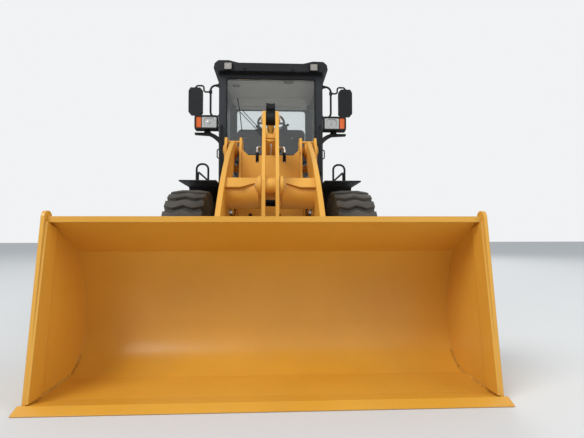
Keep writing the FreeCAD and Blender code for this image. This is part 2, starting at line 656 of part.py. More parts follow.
for side, span in both(dim.link_ear_in, dim.link_ear_in + dim.bucket_ear):
    ear = [(-2811, 420), (dim.link_eye_y + 30, dim.link_eye_z - 68),
           (dim.link_eye_y + 74, dim.link_eye_z, "via"),
           (dim.link_eye_y + 20, dim.link_eye_z + 72), (-2907, 730), (-2869, 650), (-2838, 560), (-2823, 500)]
    bucket_parts.append(plate("link_ear", "YZ", span[0], span[1], ear))
bucket_parts.append(rod("link_pin", "X", dim.small_pin - dim.pin_fit, -dim.link_ear_in - dim.bucket_ear,
                        dim.link_ear_in + dim.bucket_ear, (dim.link_eye_y, dim.link_eye_z)))
node("bucket", joined("bucket", bucket_parts))
edge_path = [(dim.edge_reach, floor + 4), (dim.edge_reach, floor), (dim.edge_reach + 170, floor),
             (dim.edge_reach + 170, floor + shell), (dim.edge_reach + 60, floor + dim.edge_plate)]
side_clear = [box("edge_notch", span, (dim.edge_reach + 70, dim.edge_reach + 400), (floor - 5, floor + 60))
              for side, span in both(side_in, dim.edge_half + 5)]
side_clear += [box("edge_notch", span, (dim.edge_reach + 68, dim.edge_reach + 400), (floor + 5, floor + 60))
               for side, span in both(side_in - 15, side_in + 1)]
node("cutting_edge", without("cutting_edge", plate("edge_bar", "YZ", -dim.edge_half, dim.edge_half,
                                                   edge_path),
                             side_clear))


# Cylinders: a barrel about its base pin and a rod that slides in it.
def cylinder(label, plane, centre, base, eye, barrel_radius, rod_radius, barrel_end, rod_start, half,
             eye_radius, bore, fork=None):
    # laid along +X from the base pin, then turned onto the line of its pins; names end in _barrel and _rod
    (b0, b1), (e0, e1) = base, eye
    run = math.hypot(size(e0).value - size(b0).value, size(e1).value - size(b1).value)
    lean = math.degrees(math.atan2(size(e1).value - size(b1).value, size(e0).value - size(b0).value))
    reach = Size("(sqrt((%s)^2 + (%s)^2))" % ((size(e0) - b0).text, (size(e1) - b1).text), run)
    tube = [
        flat_disc(label + "_base_eye", 0, eye_radius, half),
        rod(label + "_neck", "X", half - 2, eye_radius * 0.6, eye_radius + 40, (0, 0)),
        rod(label + "_tube", "X", barrel_radius, eye_radius + 34, barrel_end, (0, 0)),
    ]
    cut = [
        flat_disc(label + "_base_bore", 0, bore, half + 5),
        rod(label + "_way", "X", rod_radius + dim.seat_gap, eye_radius + 10, barrel_end + 5, (0, 0)),
    ]
    barrel = without(label + "_barrel_raw", joined(label + "_tube_raw", tube), cut)
    if fork is None:
        head = [flat_disc(label + "_rod_eye", reach, eye_radius, half)]
        stem_end = reach - eye_radius * 0.6
    else:
        inner, outer = fork
        head = []
        for low, high in ((inner, outer), (-outer, -inner)):
            head.append(lying_box(label + "_cheek", (reach - 114, reach), (low, high), eye_radius))
            head.append(rod(label + "_cheek_eye", "Y", eye_radius, low, high, (reach, 0)))
        head.append(lying_box(label + "_yoke", (reach - 136, reach - 112), (-outer, outer), rod_radius + 4))
        stem_end = reach - 130
    head.append(rod(label + "_stem", "X", rod_radius, rod_start, stem_end, (0, 0)))
    ram = joined(label + "_ram", head)
    if fork is None:
        ram = without(label + "_rod_raw", ram, [flat_disc(label + "_rod_bore", reach, bore, half + 5)])
    for part, ending in ((barrel, "_barrel"), (ram, "_rod")):
        moved = laid(label + ending, part, plane, centre, (b0, b1), lean)
        node(label + ending, moved)


def flat_disc(label, at, radius, half):
    # an eye of a lying cylinder, thick along Y
    return rod(label, "Y", radius, -half, half, (at, 0))


def lying_box(label, xs, ys, half_high):
    return box(label, xs, ys, (-size(half_high), half_high))


def laid(label, base, plane, centre, pin, lean):
    # sets a lying piece on its line: in a YZ plane at centre along X, or in the XY plane at centre along Z
    doc.recompute()
    made = doc.addObject("Part::Feature", label)
    made.Shape = base.Shape
    first, second = size(pin[0]).value, size(pin[1]).value
    if plane == "YZ":
        upright = Rotation(Vector(0, 0, 1), 90)
        tilt = Rotation(Vector(1, 0, 0), lean)
        place = Vector(size(centre).value, first, second)
    else:
        upright = Rotation(Vector(1, 0, 0), 90)
        tilt = Rotation(Vector(0, 0, 1), lean)
        place = Vector(first, second, size(centre).value)
    made.Placement = Placement(place, tilt.multiply(upright))
    return made


cylinder("tilt", "YZ", 0, (dim.tilt_base_y, dim.tilt_base_z), (dim.tilt_eye_y, dim.tilt_eye_z),
         dim.tilt_barrel,
         dim.tilt_rod, dim.tilt_barrel_end, dim.tilt_rod_start, dim.tilt_eye_half, dim.tilt_eye,
         dim.small_pin)
measures("lift cylinders", (
    ("lift_barrel", 55, "radius of the lift barrels"),
    ("lift_rod", 30, "radius of the lift rods"),
    ("lift_barrel_end", 950, "length of a lift barrel from its pin"),
    ("lift_rod_start", 110, "inner end of a lift rod from the base pin"),
    ("lift_eye", 58, "radius of the lift cylinder eyes"),
    ("lift_half", 46, "half the width of the lift base eye"),
    ("fork_cheek", 26, "thickness of the rod fork cheeks"),
))
fork_in = dim.arm_plate / 2 + dim.side_gap
lift_x = dim.arm_x + dim.arm_plate / 2
for side, label in ((1, "left"), (-1, "right")):
    cylinder("lift_" + label, "YZ", side * lift_x, (dim.lift_base_y, dim.lift_base_z),
             (dim.lift_eye_y, dim.lift_eye_z), dim.lift_barrel, dim.lift_rod, dim.lift_barrel_end,
             dim.lift_rod_start, dim.lift_half, dim.lift_eye, dim.small_pin + dim.pin_fit,
             (fork_in, fork_in + dim.fork_cheek))
    cylinder("steer_" + label, "XY", dim.steer_z, (side * dim.steer_base_x, dim.steer_base_y),
             (side * dim.steer_pin_x, dim.steer_pin_y), dim.steer_barrel, dim.steer_rod, dim.steer_barrel_end,
             dim.steer_rod_start, dim.steer_eye_half, dim.steer_eye, dim.steer_pin)

measures("cab", (
    ("cab_half", 700, "outer face of the cab walls, along X"),
    ("cab_front", -20, "outer face of the front wall, along Y"),
    ("cab_back", 1340, "outer face of the rear wall, along Y"),
    ("cab_wall", 50, "thickness of the cab walls and pillars"),
    ("cab_base", 1450, "top of the cab floor"),
    ("cab_head", 3060, "top of the cab walls"),
    ("glass", 6, "thickness of the panes"),
    ("door_front", 60, "front edge of the door opening, along Y"),
    ("door_back", 860, "rear edge of the door opening, along Y"),
    ("door_low", 1500, "lower edge of the door opening"),
    ("door_high", 2990, "upper edge of the door opening"),
    ("door_gap", 5, "gap around a door"),
    ("swing_gap", 4, "extra gap at a door's front edge for its swing"),
    ("hinge_radius", 6, "radius of the door hinge pins"),
    ("hinge_high", 60, "height of a door hinge"),
    ("door_wall", 40, "thickness of a door"),
    ("window_high", 2980, "upper edge of the windows"),
    ("screen_half", 590, "half the width of the windscreen opening"),
    ("screen_low", 1960, "lower edge of the windscreen opening"),
    ("back_low", 2020, "lower edge of the rear window opening"),
    ("quarter_low", 2020, "lower edge of the rear quarter windows"),
))

# Rear frame: two side plates, the forks of the steering pivot and the seats of cab and hood.
measures("rear frame", (
    ("side_plate_x", 360, "inner face of the rear side plates"),
    ("side_plate_wall", 26, "thickness of the rear side plates"),
    ("rear_start", 720, "front end of the side plates, along Y"),
    ("rear_end", 3060, "rear end of the side plates, along Y"),
    ("rear_top", 1200, "top of the side plates"),
    ("fork_plate", 38, "thickness of the fork plates"),
    ("fork_gap", 2, "air between a fork plate and its lug"),
    ("deck_z", 1440, "underside of the side decks"),
    ("deck_plate", 20, "thickness of the deck"),
    ("deck_in", 722, "inner edge of the side decks"),
    ("deck_out", 1180, "outer edge of the side decks"),
    ("box_in", 500, "inner face of the side boxes, clear of the steering cylinders"),
    ("deck_start", 480, "front edge of the side decks, along Y"),
    ("deck_end", 2450, "rear edge of the side decks, along Y"),
    ("cab_floor_z", 1330, "underside of the cab floor"),
))
side_out = dim.side_plate_x + dim.side_plate_wall
rear = dim.rear_axle
rear_path = [(dim.rear_start, 560), (dim.rear_start, dim.rear_top), (dim.rear_end, dim.rear_top),
             (dim.rear_end, 760), (rear + 560, 640), (rear + 330, 640), (rear + 210, dim.rear_frame_floor),
             (rear - 210, dim.rear_frame_floor), (rear - 330, 600)]
rear_parts = []
for side, span in both(dim.side_plate_x, side_out):
    rear_parts.append(plate("side_plate", "YZ", span[0], span[1], rear_path))
fork_low = (dim.hitch_low - dim.fork_gap - dim.fork_plate, dim.hitch_low + dim.hitch_lug + dim.fork_gap)
fork_high = (dim.hitch_high - dim.fork_gap - dim.fork_plate, dim.hitch_high + dim.hitch_lug + dim.fork_gap)
for level in fork_low + fork_high:
    fork = [(-dim.hitch_round, dim.hitch), (0, dim.hitch - dim.hitch_round, "via"),
            (dim.hitch_round, dim.hitch),
            (dim.hitch_round + 30, 480), (dim.side_plate_x, dim.rear_start), (dim.side_plate_x, 860),
            (-dim.side_plate_x, 860), (-dim.side_plate_x, dim.rear_start), (-dim.hitch_round - 30, 480)]
    rear_parts.append(plate("fork", "XY", level, level + dim.fork_plate, fork))
for level in (dim.hitch_low, dim.hitch_high):
    rear_parts.append(rod("pivot_pin", "Z", dim.hitch_pin - dim.pin_fit, level - dim.fork_gap - 10,
                          level + dim.hitch_lug + dim.fork_gap + 10, (0, dim.hitch)))
low_top = fork_low[1] + dim.fork_plate
rear_parts += [
    box("fork_web", (-110, 110), (450, 860), (low_top, fork_high[0])),
    box("front_wall", (-dim.side_plate_x, dim.side_plate_x), (836, 860), (low_top, fork_high[0])),
    box("middle_beam", (-dim.side_plate_x, dim.side_plate_x), (1290, 1330), (900, 1180)),
    box("rear_beam", (-dim.side_plate_x, dim.side_plate_x), (dim.rear_end - 30, dim.rear_end), (780, 1180)),
]
base_ears = ((low_lug[0], low_lug[1]), (high_lug[0], high_lug[1]))
for side, span in both(dim.steer_base_x - 52, dim.side_plate_x):
    for low, high in base_ears:
        rear_parts.append(box("steer_ear", span, (dim.steer_base_y - 46, 850), (low, high)))
for side, span in both(300, dim.side_plate_x):
    for start in (dim.rear_start, 1220):
        rear_parts.append(box("cab_seat", span, (start, start + 110), (dim.rear_top - 20, dim.cab_floor_z)))
for side, span in both(side_out, dim.deck_in + 60):
    rear_parts.append(box("deck_arm", span, (dim.deck_end - 90, dim.deck_end - 20), (1090, 1148)))
for side, span in both(600, dim.deck_in + 60):
    rear_parts.append(box("deck_post", span, (dim.deck_end - 90, dim.deck_end - 20), (1120, dim.deck_z)))
rear_tools = [rod("shaft_way", "Y", 90, 400, 900, (0, dim.tyre_radius + 40))]
for side in (1, -1):
    rear_parts.append(rod("steer_pin", "Z", dim.steer_pin - dim.pin_fit, low_lug[0] - 14, high_lug[1] + 14,
                          (side * dim.steer_base_x, dim.steer_base_y)))
node("rear_frame", without("rear_frame", joined("rear_frame_raw", rear_parts), rear_tools))
axle("rear_axle", dim.rear_axle, dim.rear_frame_floor, dim.gearbox_back, dim.rear_axle - 200,
     (dim.side_plate_x - 40, dim.side_plate_x + 90))
node("gearbox", box("gearbox", (-240, 240), (865, dim.gearbox_back), (620, 1150)))
engine = [box("engine_body", (-300, 300), (1900, 2800), (960, 1720))]
for side, span in both(290, dim.side_plate_x):
    for start in (1980, 2600):
        engine.append(box("engine_mount", span, (start, start + 90), (1020, 1110)))
node("engine_block", joined("engine_block", engine))

# Counterweight with the tow hitch: a jaw with an upright pin bore.
measures("counterweight", (
    ("weight_half", 1000, "half the width of the counterweight"),
    ("weight_top", 1400, "top of the counterweight"),
    ("weight_floor", 640, "underside of the counterweight"),
    ("tow_bore", 25, "radius of the tow pin bore"),
    ("tow_jaw", 90, "height of the tow jaw"),
    ("tow_z", 860, "middle of the tow jaw"),
    ("tow_depth", 130, "depth of the tow jaw"),
    ("tow_pin_in", 60, "tow pin, ahead of the back of the counterweight"),
    ("hood_pin_y", 3285, "hinge of the hood, along Y"),
    ("hood_pin_z", 1425, "hinge of the hood, height"),
    ("hood_pin", 8, "radius of the hood's hinge pins"),
    ("hood_knuckle", 14, "radius of the hood's hinge knuckles"),
))
tow_pin_y = dim.tail_reach - dim.tow_pin_in
weight_path = [(-dim.weight_half, dim.rear_end + 90), (-dim.weight_half, dim.tail_reach - 190),
               (-dim.weight_half + 70, dim.tail_reach - 60, "via"), (-dim.weight_half + 210, dim.tail_reach),
               (dim.weight_half - 210, dim.tail_reach), (dim.weight_half - 70, dim.tail_reach - 60, "via"),
               (dim.weight_half, dim.tail_reach - 190), (dim.weight_half, dim.rear_end + 90),
               (dim.side_plate_x + 120, dim.rear_end), (-dim.side_plate_x - 120, dim.rear_end)]
weight = [plate("weight_block", "XY", dim.weight_floor, dim.weight_top, weight_path)]
hinge_spot = (dim.hood_pin_y, dim.hood_pin_z)
hinge_bores = []
for side, span in both(300, 340):
    weight.append(box("hinge_foot", span, (dim.hood_pin_y - 10, dim.hood_pin_y + 10),
                      (dim.weight_top - 5, dim.hood_pin_z)))
    weight.append(rod("hinge_knuckle", "X", dim.hood_knuckle, span[0], span[1], hinge_spot))
for side, span in both(290, 350):
    hinge_bores.append(rod("hinge_bore", "X", dim.hood_pin, span[0], span[1], hinge_spot))
weight_tools = [
    box("tow_mouth", (-90, 90), (dim.tail_reach - dim.tow_depth, dim.tail_reach + 10),
        (dim.tow_z - dim.tow_jaw / 2, dim.tow_z + dim.tow_jaw / 2)),
    box("tow_slot", (-110, 110), (tow_pin_y - 70, dim.tail_reach + 10),
        (dim.tow_z + 110, dim.weight_top + 10)),
    rod("tow_pin_bore", "Z", dim.tow_bore, dim.weight_floor - 10, dim.weight_top, (0, tow_pin_y)),
] + [box("toe_recess", span, (dim.tail_reach - 60, dim.tail_reach + 10), (dim.weight_floor - 10, 740))
     for side, span in both(160, dim.weight_half + 10)] + hinge_bores
node("counterweight", without("counterweight", joined("weight_raw", weight), weight_tools))

# Decks over the rear wheels, the side boxes below them and their rails.
deck_parts = []
for side, span in both(dim.deck_in, dim.deck_out):
    deck_parts.append(box("deck", span, (dim.deck_start, dim.deck_end),
                          (dim.deck_z, dim.deck_z + dim.deck_plate)))
    skirt = [(dim.deck_end, dim.deck_z), (dim.deck_end, dim.deck_z + dim.deck_plate),
             (dim.deck_end + 160, 1180), (dim.deck_end + 140, 1180)]
    deck_parts.append(plate("deck_tail", "YZ", span[0], span[1], skirt))
node("decks", joined("decks", deck_parts))
box_parts = []
for side, span in both(dim.box_in, dim.deck_out - 40):
    box_parts.append(box("side_box", span, (dim.deck_start + 30, 960), (620, dim.deck_z)))
for side, span in both(side_out, dim.box_in + 5):
    box_parts.append(box("box_mount", span, (770, 910), (960, 1160)))
box_tools = []
for side, span in both(dim.deck_out - 240, dim.deck_out):
    for step in (760, 1000, 1220):
        box_tools.append(box("step", span, (dim.deck_start, 800), (step, step + 150)))
box_tools.append(box("cab_way", (-dim.cab_half - 8, dim.cab_half + 8), (dim.deck_start, 1000),
                     (dim.cab_floor_z - 8, dim.deck_z + 10)))
side_boxes = without("side_boxes", joined("side_boxes_raw", box_parts), box_tools)
node("side_boxes", side_boxes)


def tube(label, radius, points, bend):
    # a tube along a path whose corners are rounded with arcs of one radius
    route = [Vector(*[size(part).value for part in point]) for point in points]
    edges = []
    start = route[0]
    for before, corner, after in zip(route, route[1:], route[2:]):
        inward = (before - corner).normalize()
        outward = (after - corner).normalize()
        half = inward.getAngle(outward) / 2
        back = bend / math.tan(half)
        first = corner + inward * back
        last = corner + outward * back
        middle = (inward + outward).normalize()
        waist = corner + middle * (bend / math.sin(half) - bend)
        edges.append(Part.LineSegment(start, first).toShape())
        edges.append(Part.Arc(first, waist, last).toShape())
        start = last
    edges.append(Part.LineSegment(start, route[-1]).toShape())
    path = Part.Wire(edges)
    ring = Part.Wire(Part.Circle(route[0], route[1] - route[0], size(radius).value).toShape())
    made = doc.addObject("Part::Feature", label)
    made.Shape = path.makePipeShell([ring], True, False)
    return made


deck_top = dim.deck_z + dim.deck_plate
measures("rails", (
    ("rail_radius", 16, "radius of the rail tubes"),
    ("step_rail_high", 530, "height of the rails behind the steps over the deck"),
    ("rail_high", 430, "height of the long rails over the deck"),
    ("front_rail_y", 935, "rail behind the step, along Y"),
))
rail_parts = []
for side in (1, -1):
    low_x, high_x = side * (dim.deck_out - 200), side * (dim.deck_out - 20)
    rail_y, step_top, top = dim.front_rail_y, deck_top + dim.step_rail_high, deck_top + dim.rail_high
    points = [(low_x, rail_y, deck_top), (low_x, rail_y, step_top), (high_x, rail_y, step_top),
              (high_x, rail_y, deck_top)]
    rail_parts.append(tube("step_rail", dim.rail_radius, points, 80))
    points = [(high_x, 1060, deck_top), (high_x, 1060, top), (high_x, 2050, top), (high_x, 2050, deck_top)]
    rail_parts.append(tube("deck_rail", dim.rail_radius, points, 90))
node("deck_rails", joined("deck_rails", rail_parts))

# Cab: floor, a shell cut open for doors and windows, roof, doors and glass.
node("cab_floor", box("cab_floor", (-dim.cab_half, dim.cab_half), (dim.cab_front, dim.cab_back),
                      (dim.cab_floor_z, dim.cab_base)))
inner_x = dim.cab_half - dim.cab_wall
front_in, back_in = dim.cab_front + dim.cab_wall, dim.cab_back - dim.cab_wall
outer = box("cab_outer", (-dim.cab_half, dim.cab_half), (dim.cab_front, dim.cab_back),
            (dim.cab_base, dim.cab_head))
quarter = (dim.door_back + 70, back_in)
openings = {
    "windscreen": ((-dim.screen_half, dim.screen_half), (dim.cab_front, front_in),
                   (dim.screen_low, dim.window_high)),
    "rear_window": ((-dim.screen_half, dim.screen_half), (back_in, dim.cab_back),
                    (dim.back_low, dim.window_high)),
}
cab_tools = [box("cab_room", (-inner_x, inner_x), (front_in, back_in), (dim.cab_base, dim.cab_head))]
margin = 8
for name, (xs, ys, zs) in openings.items():
    cab_tools.append(box(name + "_opening", xs, (ys[0] - margin, ys[1] + margin), zs))
for side, span in both(inner_x - margin, dim.cab_half + margin):
    cab_tools.append(box("door_opening", span, (dim.door_front, dim.door_back),
                         (dim.door_low, dim.door_high)))
    cab_tools.append(box("quarter_opening", span, quarter, (dim.quarter_low, dim.window_high)))
for side, span in both(400, 610):
    cab_tools.append(box("low_light", span, (dim.cab_front - margin, front_in + margin), (1620, 1860)))
hinge_x, hinge_y = dim.cab_half + 16, dim.door_back - 2
hinge_levels = (1700, 2300, 2780)
cab_parts = [without("cab_walls", outer, cab_tools)]
for side, span in both(dim.cab_half, hinge_x + 6):
    for low in hinge_levels:
        for start in (low - 10, low + dim.hinge_high + 2):
            cab_parts.append(box("hinge_bracket", span, (hinge_y - 4, hinge_y + 22), (start, start + 8)))
        cab_parts.append(rod("hinge_pin", "Z", dim.hinge_radius - dim.pin_fit, low - 10,
                             low + dim.hinge_high + 10, (side * hinge_x, hinge_y)))
node("cab_shell", joined("cab_shell", cab_parts))
fit = dim.seat_gap
node("windscreen", box("windscreen", (-dim.screen_half + fit, dim.screen_half - fit),
                       (dim.cab_front + 6, dim.cab_front + 6 + dim.glass),
                       (dim.screen_low + fit, dim.window_high - fit)))
node("rear_window", box("rear_window", (-dim.screen_half + fit, dim.screen_half - fit),
                        (dim.cab_back - 6 - dim.glass, dim.cab_back - 6),
                        (dim.back_low + fit, dim.window_high - fit)))
panes = []
for side, span in both(dim.cab_half - 6 - dim.glass, dim.cab_half - 6):
    panes.append(box("quarter_pane", span, (quarter[0] + fit, quarter[1] - fit),
                     (dim.quarter_low + fit, dim.window_high - fit)))
for side, span in both(400 + fit, 610 - fit):
    panes.append(box("low_pane", span, (dim.cab_front + 6, dim.cab_front + 6 + dim.glass),
                     (1620 + fit, 1860 - fit)))
node("side_glass", joined("side_glass", panes))
measures("doors", (
    ("door_frame", 62, "width of the door frame"),
    ("door_rail", 2010, "height of the bar across a door"),
    ("door_out", 2, "how far the door face lies behind the cab face"),
))
for side, label in ((1, "left"), (-1, "right")):
    def across(low, high):
        return (low, high) if side > 0 else (-size(high), -size(low))
    door_x = across(dim.cab_half - dim.door_out - dim.door_wall, dim.cab_half - dim.door_out)
    ys = (dim.door_front + dim.door_gap + dim.swing_gap, dim.door_back - dim.door_gap)
    zs = (dim.door_low + dim.door_gap, dim.door_high - dim.door_gap)
    leaf = box("door_leaf", door_x, ys, zs)
    wide = across(dim.cab_half - 80, dim.cab_half + 20)
    frame = dim.door_frame
    holes = [box("door_upper", wide, (ys[0] + frame, ys[1] - frame), (dim.door_rail, zs[1] - frame)),
             box("door_lower", wide, (ys[0] + frame, ys[1] - frame), (zs[0] + frame, dim.door_rail - frame))]
    hinges = []
    for low in hinge_levels:
        spot = (side * hinge_x, hinge_y)
        strap = box("door_strap", across(dim.cab_half - dim.door_out, dim.cab_half + 8),
                    (dim.door_back - 90, hinge_y - 6), (low, low + dim.hinge_high))
        knuckle = rod("door_knuckle", "Z", 12, low, low + dim.hinge_high, spot)
        bore = rod("door_bore", "Z", dim.hinge_radius, low - 5, low + dim.hinge_high + 5, spot)
        hinges.append(without("door_hinge", joined("door_hinge_raw", [strap, knuckle]), [bore]))
    leaf = without("door_plate_" + label, leaf, holes)
    node("door_" + label, joined("door_" + label, [leaf] + hinges))
    pane_x = across(dim.cab_half - 20 - dim.glass, dim.cab_half - 20)
    pane = [box("pane", pane_x, (ys[0] + frame + fit, ys[1] - frame - fit),
                (dim.door_rail + fit, zs[1] - frame - fit)),
            box("pane", pane_x, (ys[0] + frame + fit, ys[1] - frame - fit),
                (zs[0] + frame + fit, dim.door_rail - frame - fit))]
    node("door_glass_" + label, joined("door_glass_" + label, pane))
roof_path = [(-dim.cab_half, dim.cab_head), (-760, dim.cab_head + 30), (-748, dim.cab_head + 95),
             (-700, dim.cab_head + 138), (-560, dim.cab_head + 140), (-430, dim.cab_head + 108),
             (430, dim.cab_head + 108), (560, dim.cab_head + 140), (700, dim.cab_head + 138),
             (748, dim.cab_head + 95), (760, dim.cab_head + 30), (dim.cab_half, dim.cab_head)]
node("cab_roof", plate("cab_roof", "XZ", dim.cab_front - 100, dim.cab_back + 80, roof_path))
lamps = []
for side, span in both(522, 618):
    for low in (dim.cab_front - 130, dim.cab_back + 80):
        lamps.append(box("roof_lamp", span, (low, low + 30), (dim.cab_head + 6, dim.cab_head + 96)))
node("roof_lamps", joined("roof_lamps", lamps))
dash = [(-240, dim.cab_base), (-240, 1900), (-460, 1960), (-460, 2240), (-440, 2290, "via"), (-385, 2310),
        (385, 2310), (440, 2290, "via"), (460, 2240), (460, 1960), (240, 1900), (240, dim.cab_base)]
node("dashboard", plate("dashboard", "XZ", front_in, front_in + 170, dash))
measures("driver's place", (
    ("wheel_y", 330, "middle of the steering wheel, along Y"),
    ("wheel_z", 2480, "middle of the steering wheel, height"),
    ("wheel_ring", 185, "radius of the steering wheel"),
))
ring = doc.addObject("Part::Torus", "steer_ring")
bound(ring, "Radius1", dim.wheel_ring)
ring.Radius2 = 15
hub = rod("steer_hub", "Z", 42, -22, 14, (0, 0))
spokes = [box("steer_spoke", (-dim.wheel_ring, dim.wheel_ring), (-14, 14), (-7, 7)),
          box("steer_spoke", (-14, 14), (-dim.wheel_ring, 0), (-7, 7))]
column = rod("steer_column", "Z", 26, -214, -20, (0, 0))
flat_wheel = joined("flat_wheel", [ring, hub, column] + spokes)
doc.recompute()
steering_wheel = doc.addObject("Part::Feature", "steering_wheel")
steering_wheel.Shape = flat_wheel.Shape
steering_wheel.Placement = Placement(Vector(0, dim.wheel_y.value, dim.wheel_z.value),
                                     Rotation(Vector(1, 0, 0), -30))
node("steering_wheel", steering_wheel)
seat_base = [box("seat_post", (-170, 170), (700, 1050), (dim.cab_base, 1800)),
             box("seat_pan", (-240, 240), (620, 1130), (1800, 1830))]
node("seat_base", joined("seat_base", seat_base))
cushion = [box("cushion", (-245, 245), (610, 1060), (1830.3, 1940)),
           box("backrest", (-235, 235), (1060, 1170), (1830.3, 2520))]
node("seat_cushion", joined("seat_cushion", cushion))

# Mirrors on bent tubes beside the windscreen.
mirror_parts = []
mirror_x, mirror_y = 1010, 6
for side in (1, -1):
    points = [(side * dim.cab_half, mirror_y, 2900), (side * 815, mirror_y, 2900),
              (side * 815, mirror_y, 2470),
              (side * dim.cab_half, mirror_y, 2470)]
    mirror_parts.append(tube("mirror_frame", 14, points, 70))
    points = [(side * 828, mirror_y, 2810), (side * 905, mirror_y, 2810), (side * 905, mirror_y, 2895),
              (side * mirror_x, mirror_y, 2895), (side * mirror_x, mirror_y, 2850)]
    mirror_parts.append(tube("mirror_arm", 11, points, 30))
    head = [(-60, 2490), (62, 2490), (92, 2525), (92, 2810), (66, 2855), (-62, 2855), (-92, 2820),
            (-92, 2520)]
    mirror_parts.append(plate("mirror_head", "XZ", -40, 30, [(side * (mirror_x + x), z) for x, z in head]))
node("mirrors", joined("mirrors", mirror_parts))

# Hood with its grille housing behind it.
measures("hood", (
    ("hood_half", 560, "outer face of the hood sides, along X"),
    ("hood_front", 1400, "front edge of the hood, along Y"),
    ("hood_back", 3060, "rear edge of the hood, along Y"),
    ("hood_wall", 30, "thickness of the hood panels"),
    ("hood_low", 1480, "lower edge of the hood"),
    ("hood_top", 2300, "top of the hood at the front"),
    ("hood_tail", 2060, "top of the hood at the rear"),
    ("grille_back", 3290, "rear face of the radiator housing, along Y"),
))
hood_path = [(dim.hood_front, dim.hood_low), (dim.hood_front, dim.hood_top), (2100, dim.hood_top - 20),
             (dim.hood_back, dim.hood_tail), (dim.hood_back, dim.hood_low)]
room_path = [(dim.hood_front - 10, dim.hood_low - 10), (dim.hood_front - 10, dim.hood_top - dim.hood_wall),
             (2094, dim.hood_top - 20 - dim.hood_wall),
             (dim.hood_back + 10, dim.hood_tail - dim.hood_wall - 3),
             (dim.hood_back + 10, dim.hood_low - 10)]
hood_outer = plate("hood_outer", "YZ", -dim.hood_half, dim.hood_half, hood_path)
hood_room = plate("hood_room", "YZ", -dim.hood_half + dim.hood_wall, dim.hood_half - dim.hood_wall, room_path)
hood_tools = [hood_room]
for side, span in both(dim.hood_half - 60, dim.hood_half + 10):
    for row in range(6):
        low = 1620 + 60 * row
        hood_tools.append(box("louvre", span, (2300, 2760), (low, low + 30)))
node("hood", without("hood", hood_outer, hood_tools))
sill_parts = []
for side, span in both(side_out, dim.hood_half + 20):
    sill_parts.append(box("hood_sill", span, (dim.cab_back + 40, dim.rear_end), (1150, 1190)))
    sill_parts.append(box("hood_side", (span[1] - 50, span[1]) if side > 0 else (span[0], span[0] + 50),
                          (dim.cab_back + 40, dim.rear_end), (1190, dim.hood_low - fit)))
node("hood_sills", joined("hood_sills", sill_parts))
housing = box("housing", (-dim.hood_half, dim.hood_half), (dim.hood_back, dim.grille_back),
              (dim.weight_top + 12, dim.hood_tail))
vents = [box("vent", (-440, 440), (dim.grille_back - 60, dim.grille_back + 10),
             (1480 + 70 * row, 1520 + 70 * row))
         for row in range(7)]
housing_tools, hinge_pins = list(vents), []
for side, span in both(296, 344):
    housing_tools.append(box("hinge_notch", span, (dim.hood_pin_y - 22, dim.grille_back + 10),
                             (dim.weight_top + 2, dim.hood_pin_z + 24)))
for side, span in both(286, 354):
    hinge_pins.append(rod("hood_hinge_pin", "X", dim.hood_pin - dim.pin_fit, span[0], span[1], hinge_spot))
housing = without("housing_cut", housing, housing_tools)
node("radiator_housing", joined("radiator_housing", [housing] + hinge_pins))
stack = [rod("muffler", "Z", 75, 2288.5, 2560, (250, 1900)),
         rod("stack_pipe", "Z", 42, 2560, 2860, (250, 1900))]
node("exhaust", joined("exhaust", stack))
tail_lamps = []
for side, span in both(dim.weight_half - 210, dim.weight_half - 40):
    tail_lamps.append(box("tail_lamp", span, (dim.tail_reach - 260, dim.tail_reach - 215),
                          (dim.weight_top, dim.weight_top + 110)))
node("tail_lamps", joined("tail_lamps", tail_lamps))

# Front fenders and the head lamps on their brackets.
measures("front fittings", (
    ("fender_start", -1200, "front edge of the front fenders, along Y"),
    ("fender_out", 965, "outer edge of the front fenders"),
    ("fender_z", 1440, "underside of the front fenders"),
    ("lamp_x", 735, "middle of a head lamp, along X"),
    ("lamp_z", 2160, "middle of a head lamp, height"),
    ("lamp_y", -860, "front face of a head lamp, along Y"),
    ("lamp_low", 2085, "underside of a head lamp"),
    ("lamp_high", 2240, "top of a head lamp"),
    ("lamp_half", 132, "half the width of a head lamp"),
    ("lamp_rim", 13, "rim of a head lamp round its lenses"),
    ("lamp_sunk", 20, "depth of a head lamp's front recess"),
    ("signal_wide", 62, "width of the turn signal"),
))
fender_parts = []
for side, span in both(dim.outer_plate + 60, dim.fender_out):
    path = [(dim.fender_start, dim.fender_z), (dim.fender_start, dim.fender_z + 14),
            (-640, dim.fender_z + 14),
            (-440, 1080), (-456, 1076), (-652, dim.fender_z)]
    fender_parts.append(plate("fender", "YZ", span[0], span[1], path))
for side, span in both(dim.outer_plate, dim.outer_plate + 60):
    fender_parts.append(box("fender_bracket", span, (-900, -760), (dim.fender_z - 60, dim.fender_z + 14)))
node("front_fenders", joined("front_fenders", fender_parts))
bracket_parts, lamp_parts, lenses, signals = [], [], [], []
for side in (1, -1):
    def mirrored(path):
        return [(side * point[0],) + tuple(point[1:]) for point in path]
    wing = mirrored([(516, 1760), (516, 1880), (590, 2000, "via"), (700, 2060), (880, 2060), (880, 2040),
                     (720, 2030),
                     (620, 1960, "via"), (560, 1800)])
    bracket_parts.append(plate("lamp_wing", "XZ", dim.lamp_y + 75, dim.lamp_y + 130, wing))
    low, high = sorted((side * (dim.lamp_x - 25).value, side * (dim.lamp_x + 25).value))
    bracket_parts.append(box("lamp_post", (low, high), (dim.lamp_y + 80, dim.lamp_y + 118),
                             (2060, dim.lamp_low)))
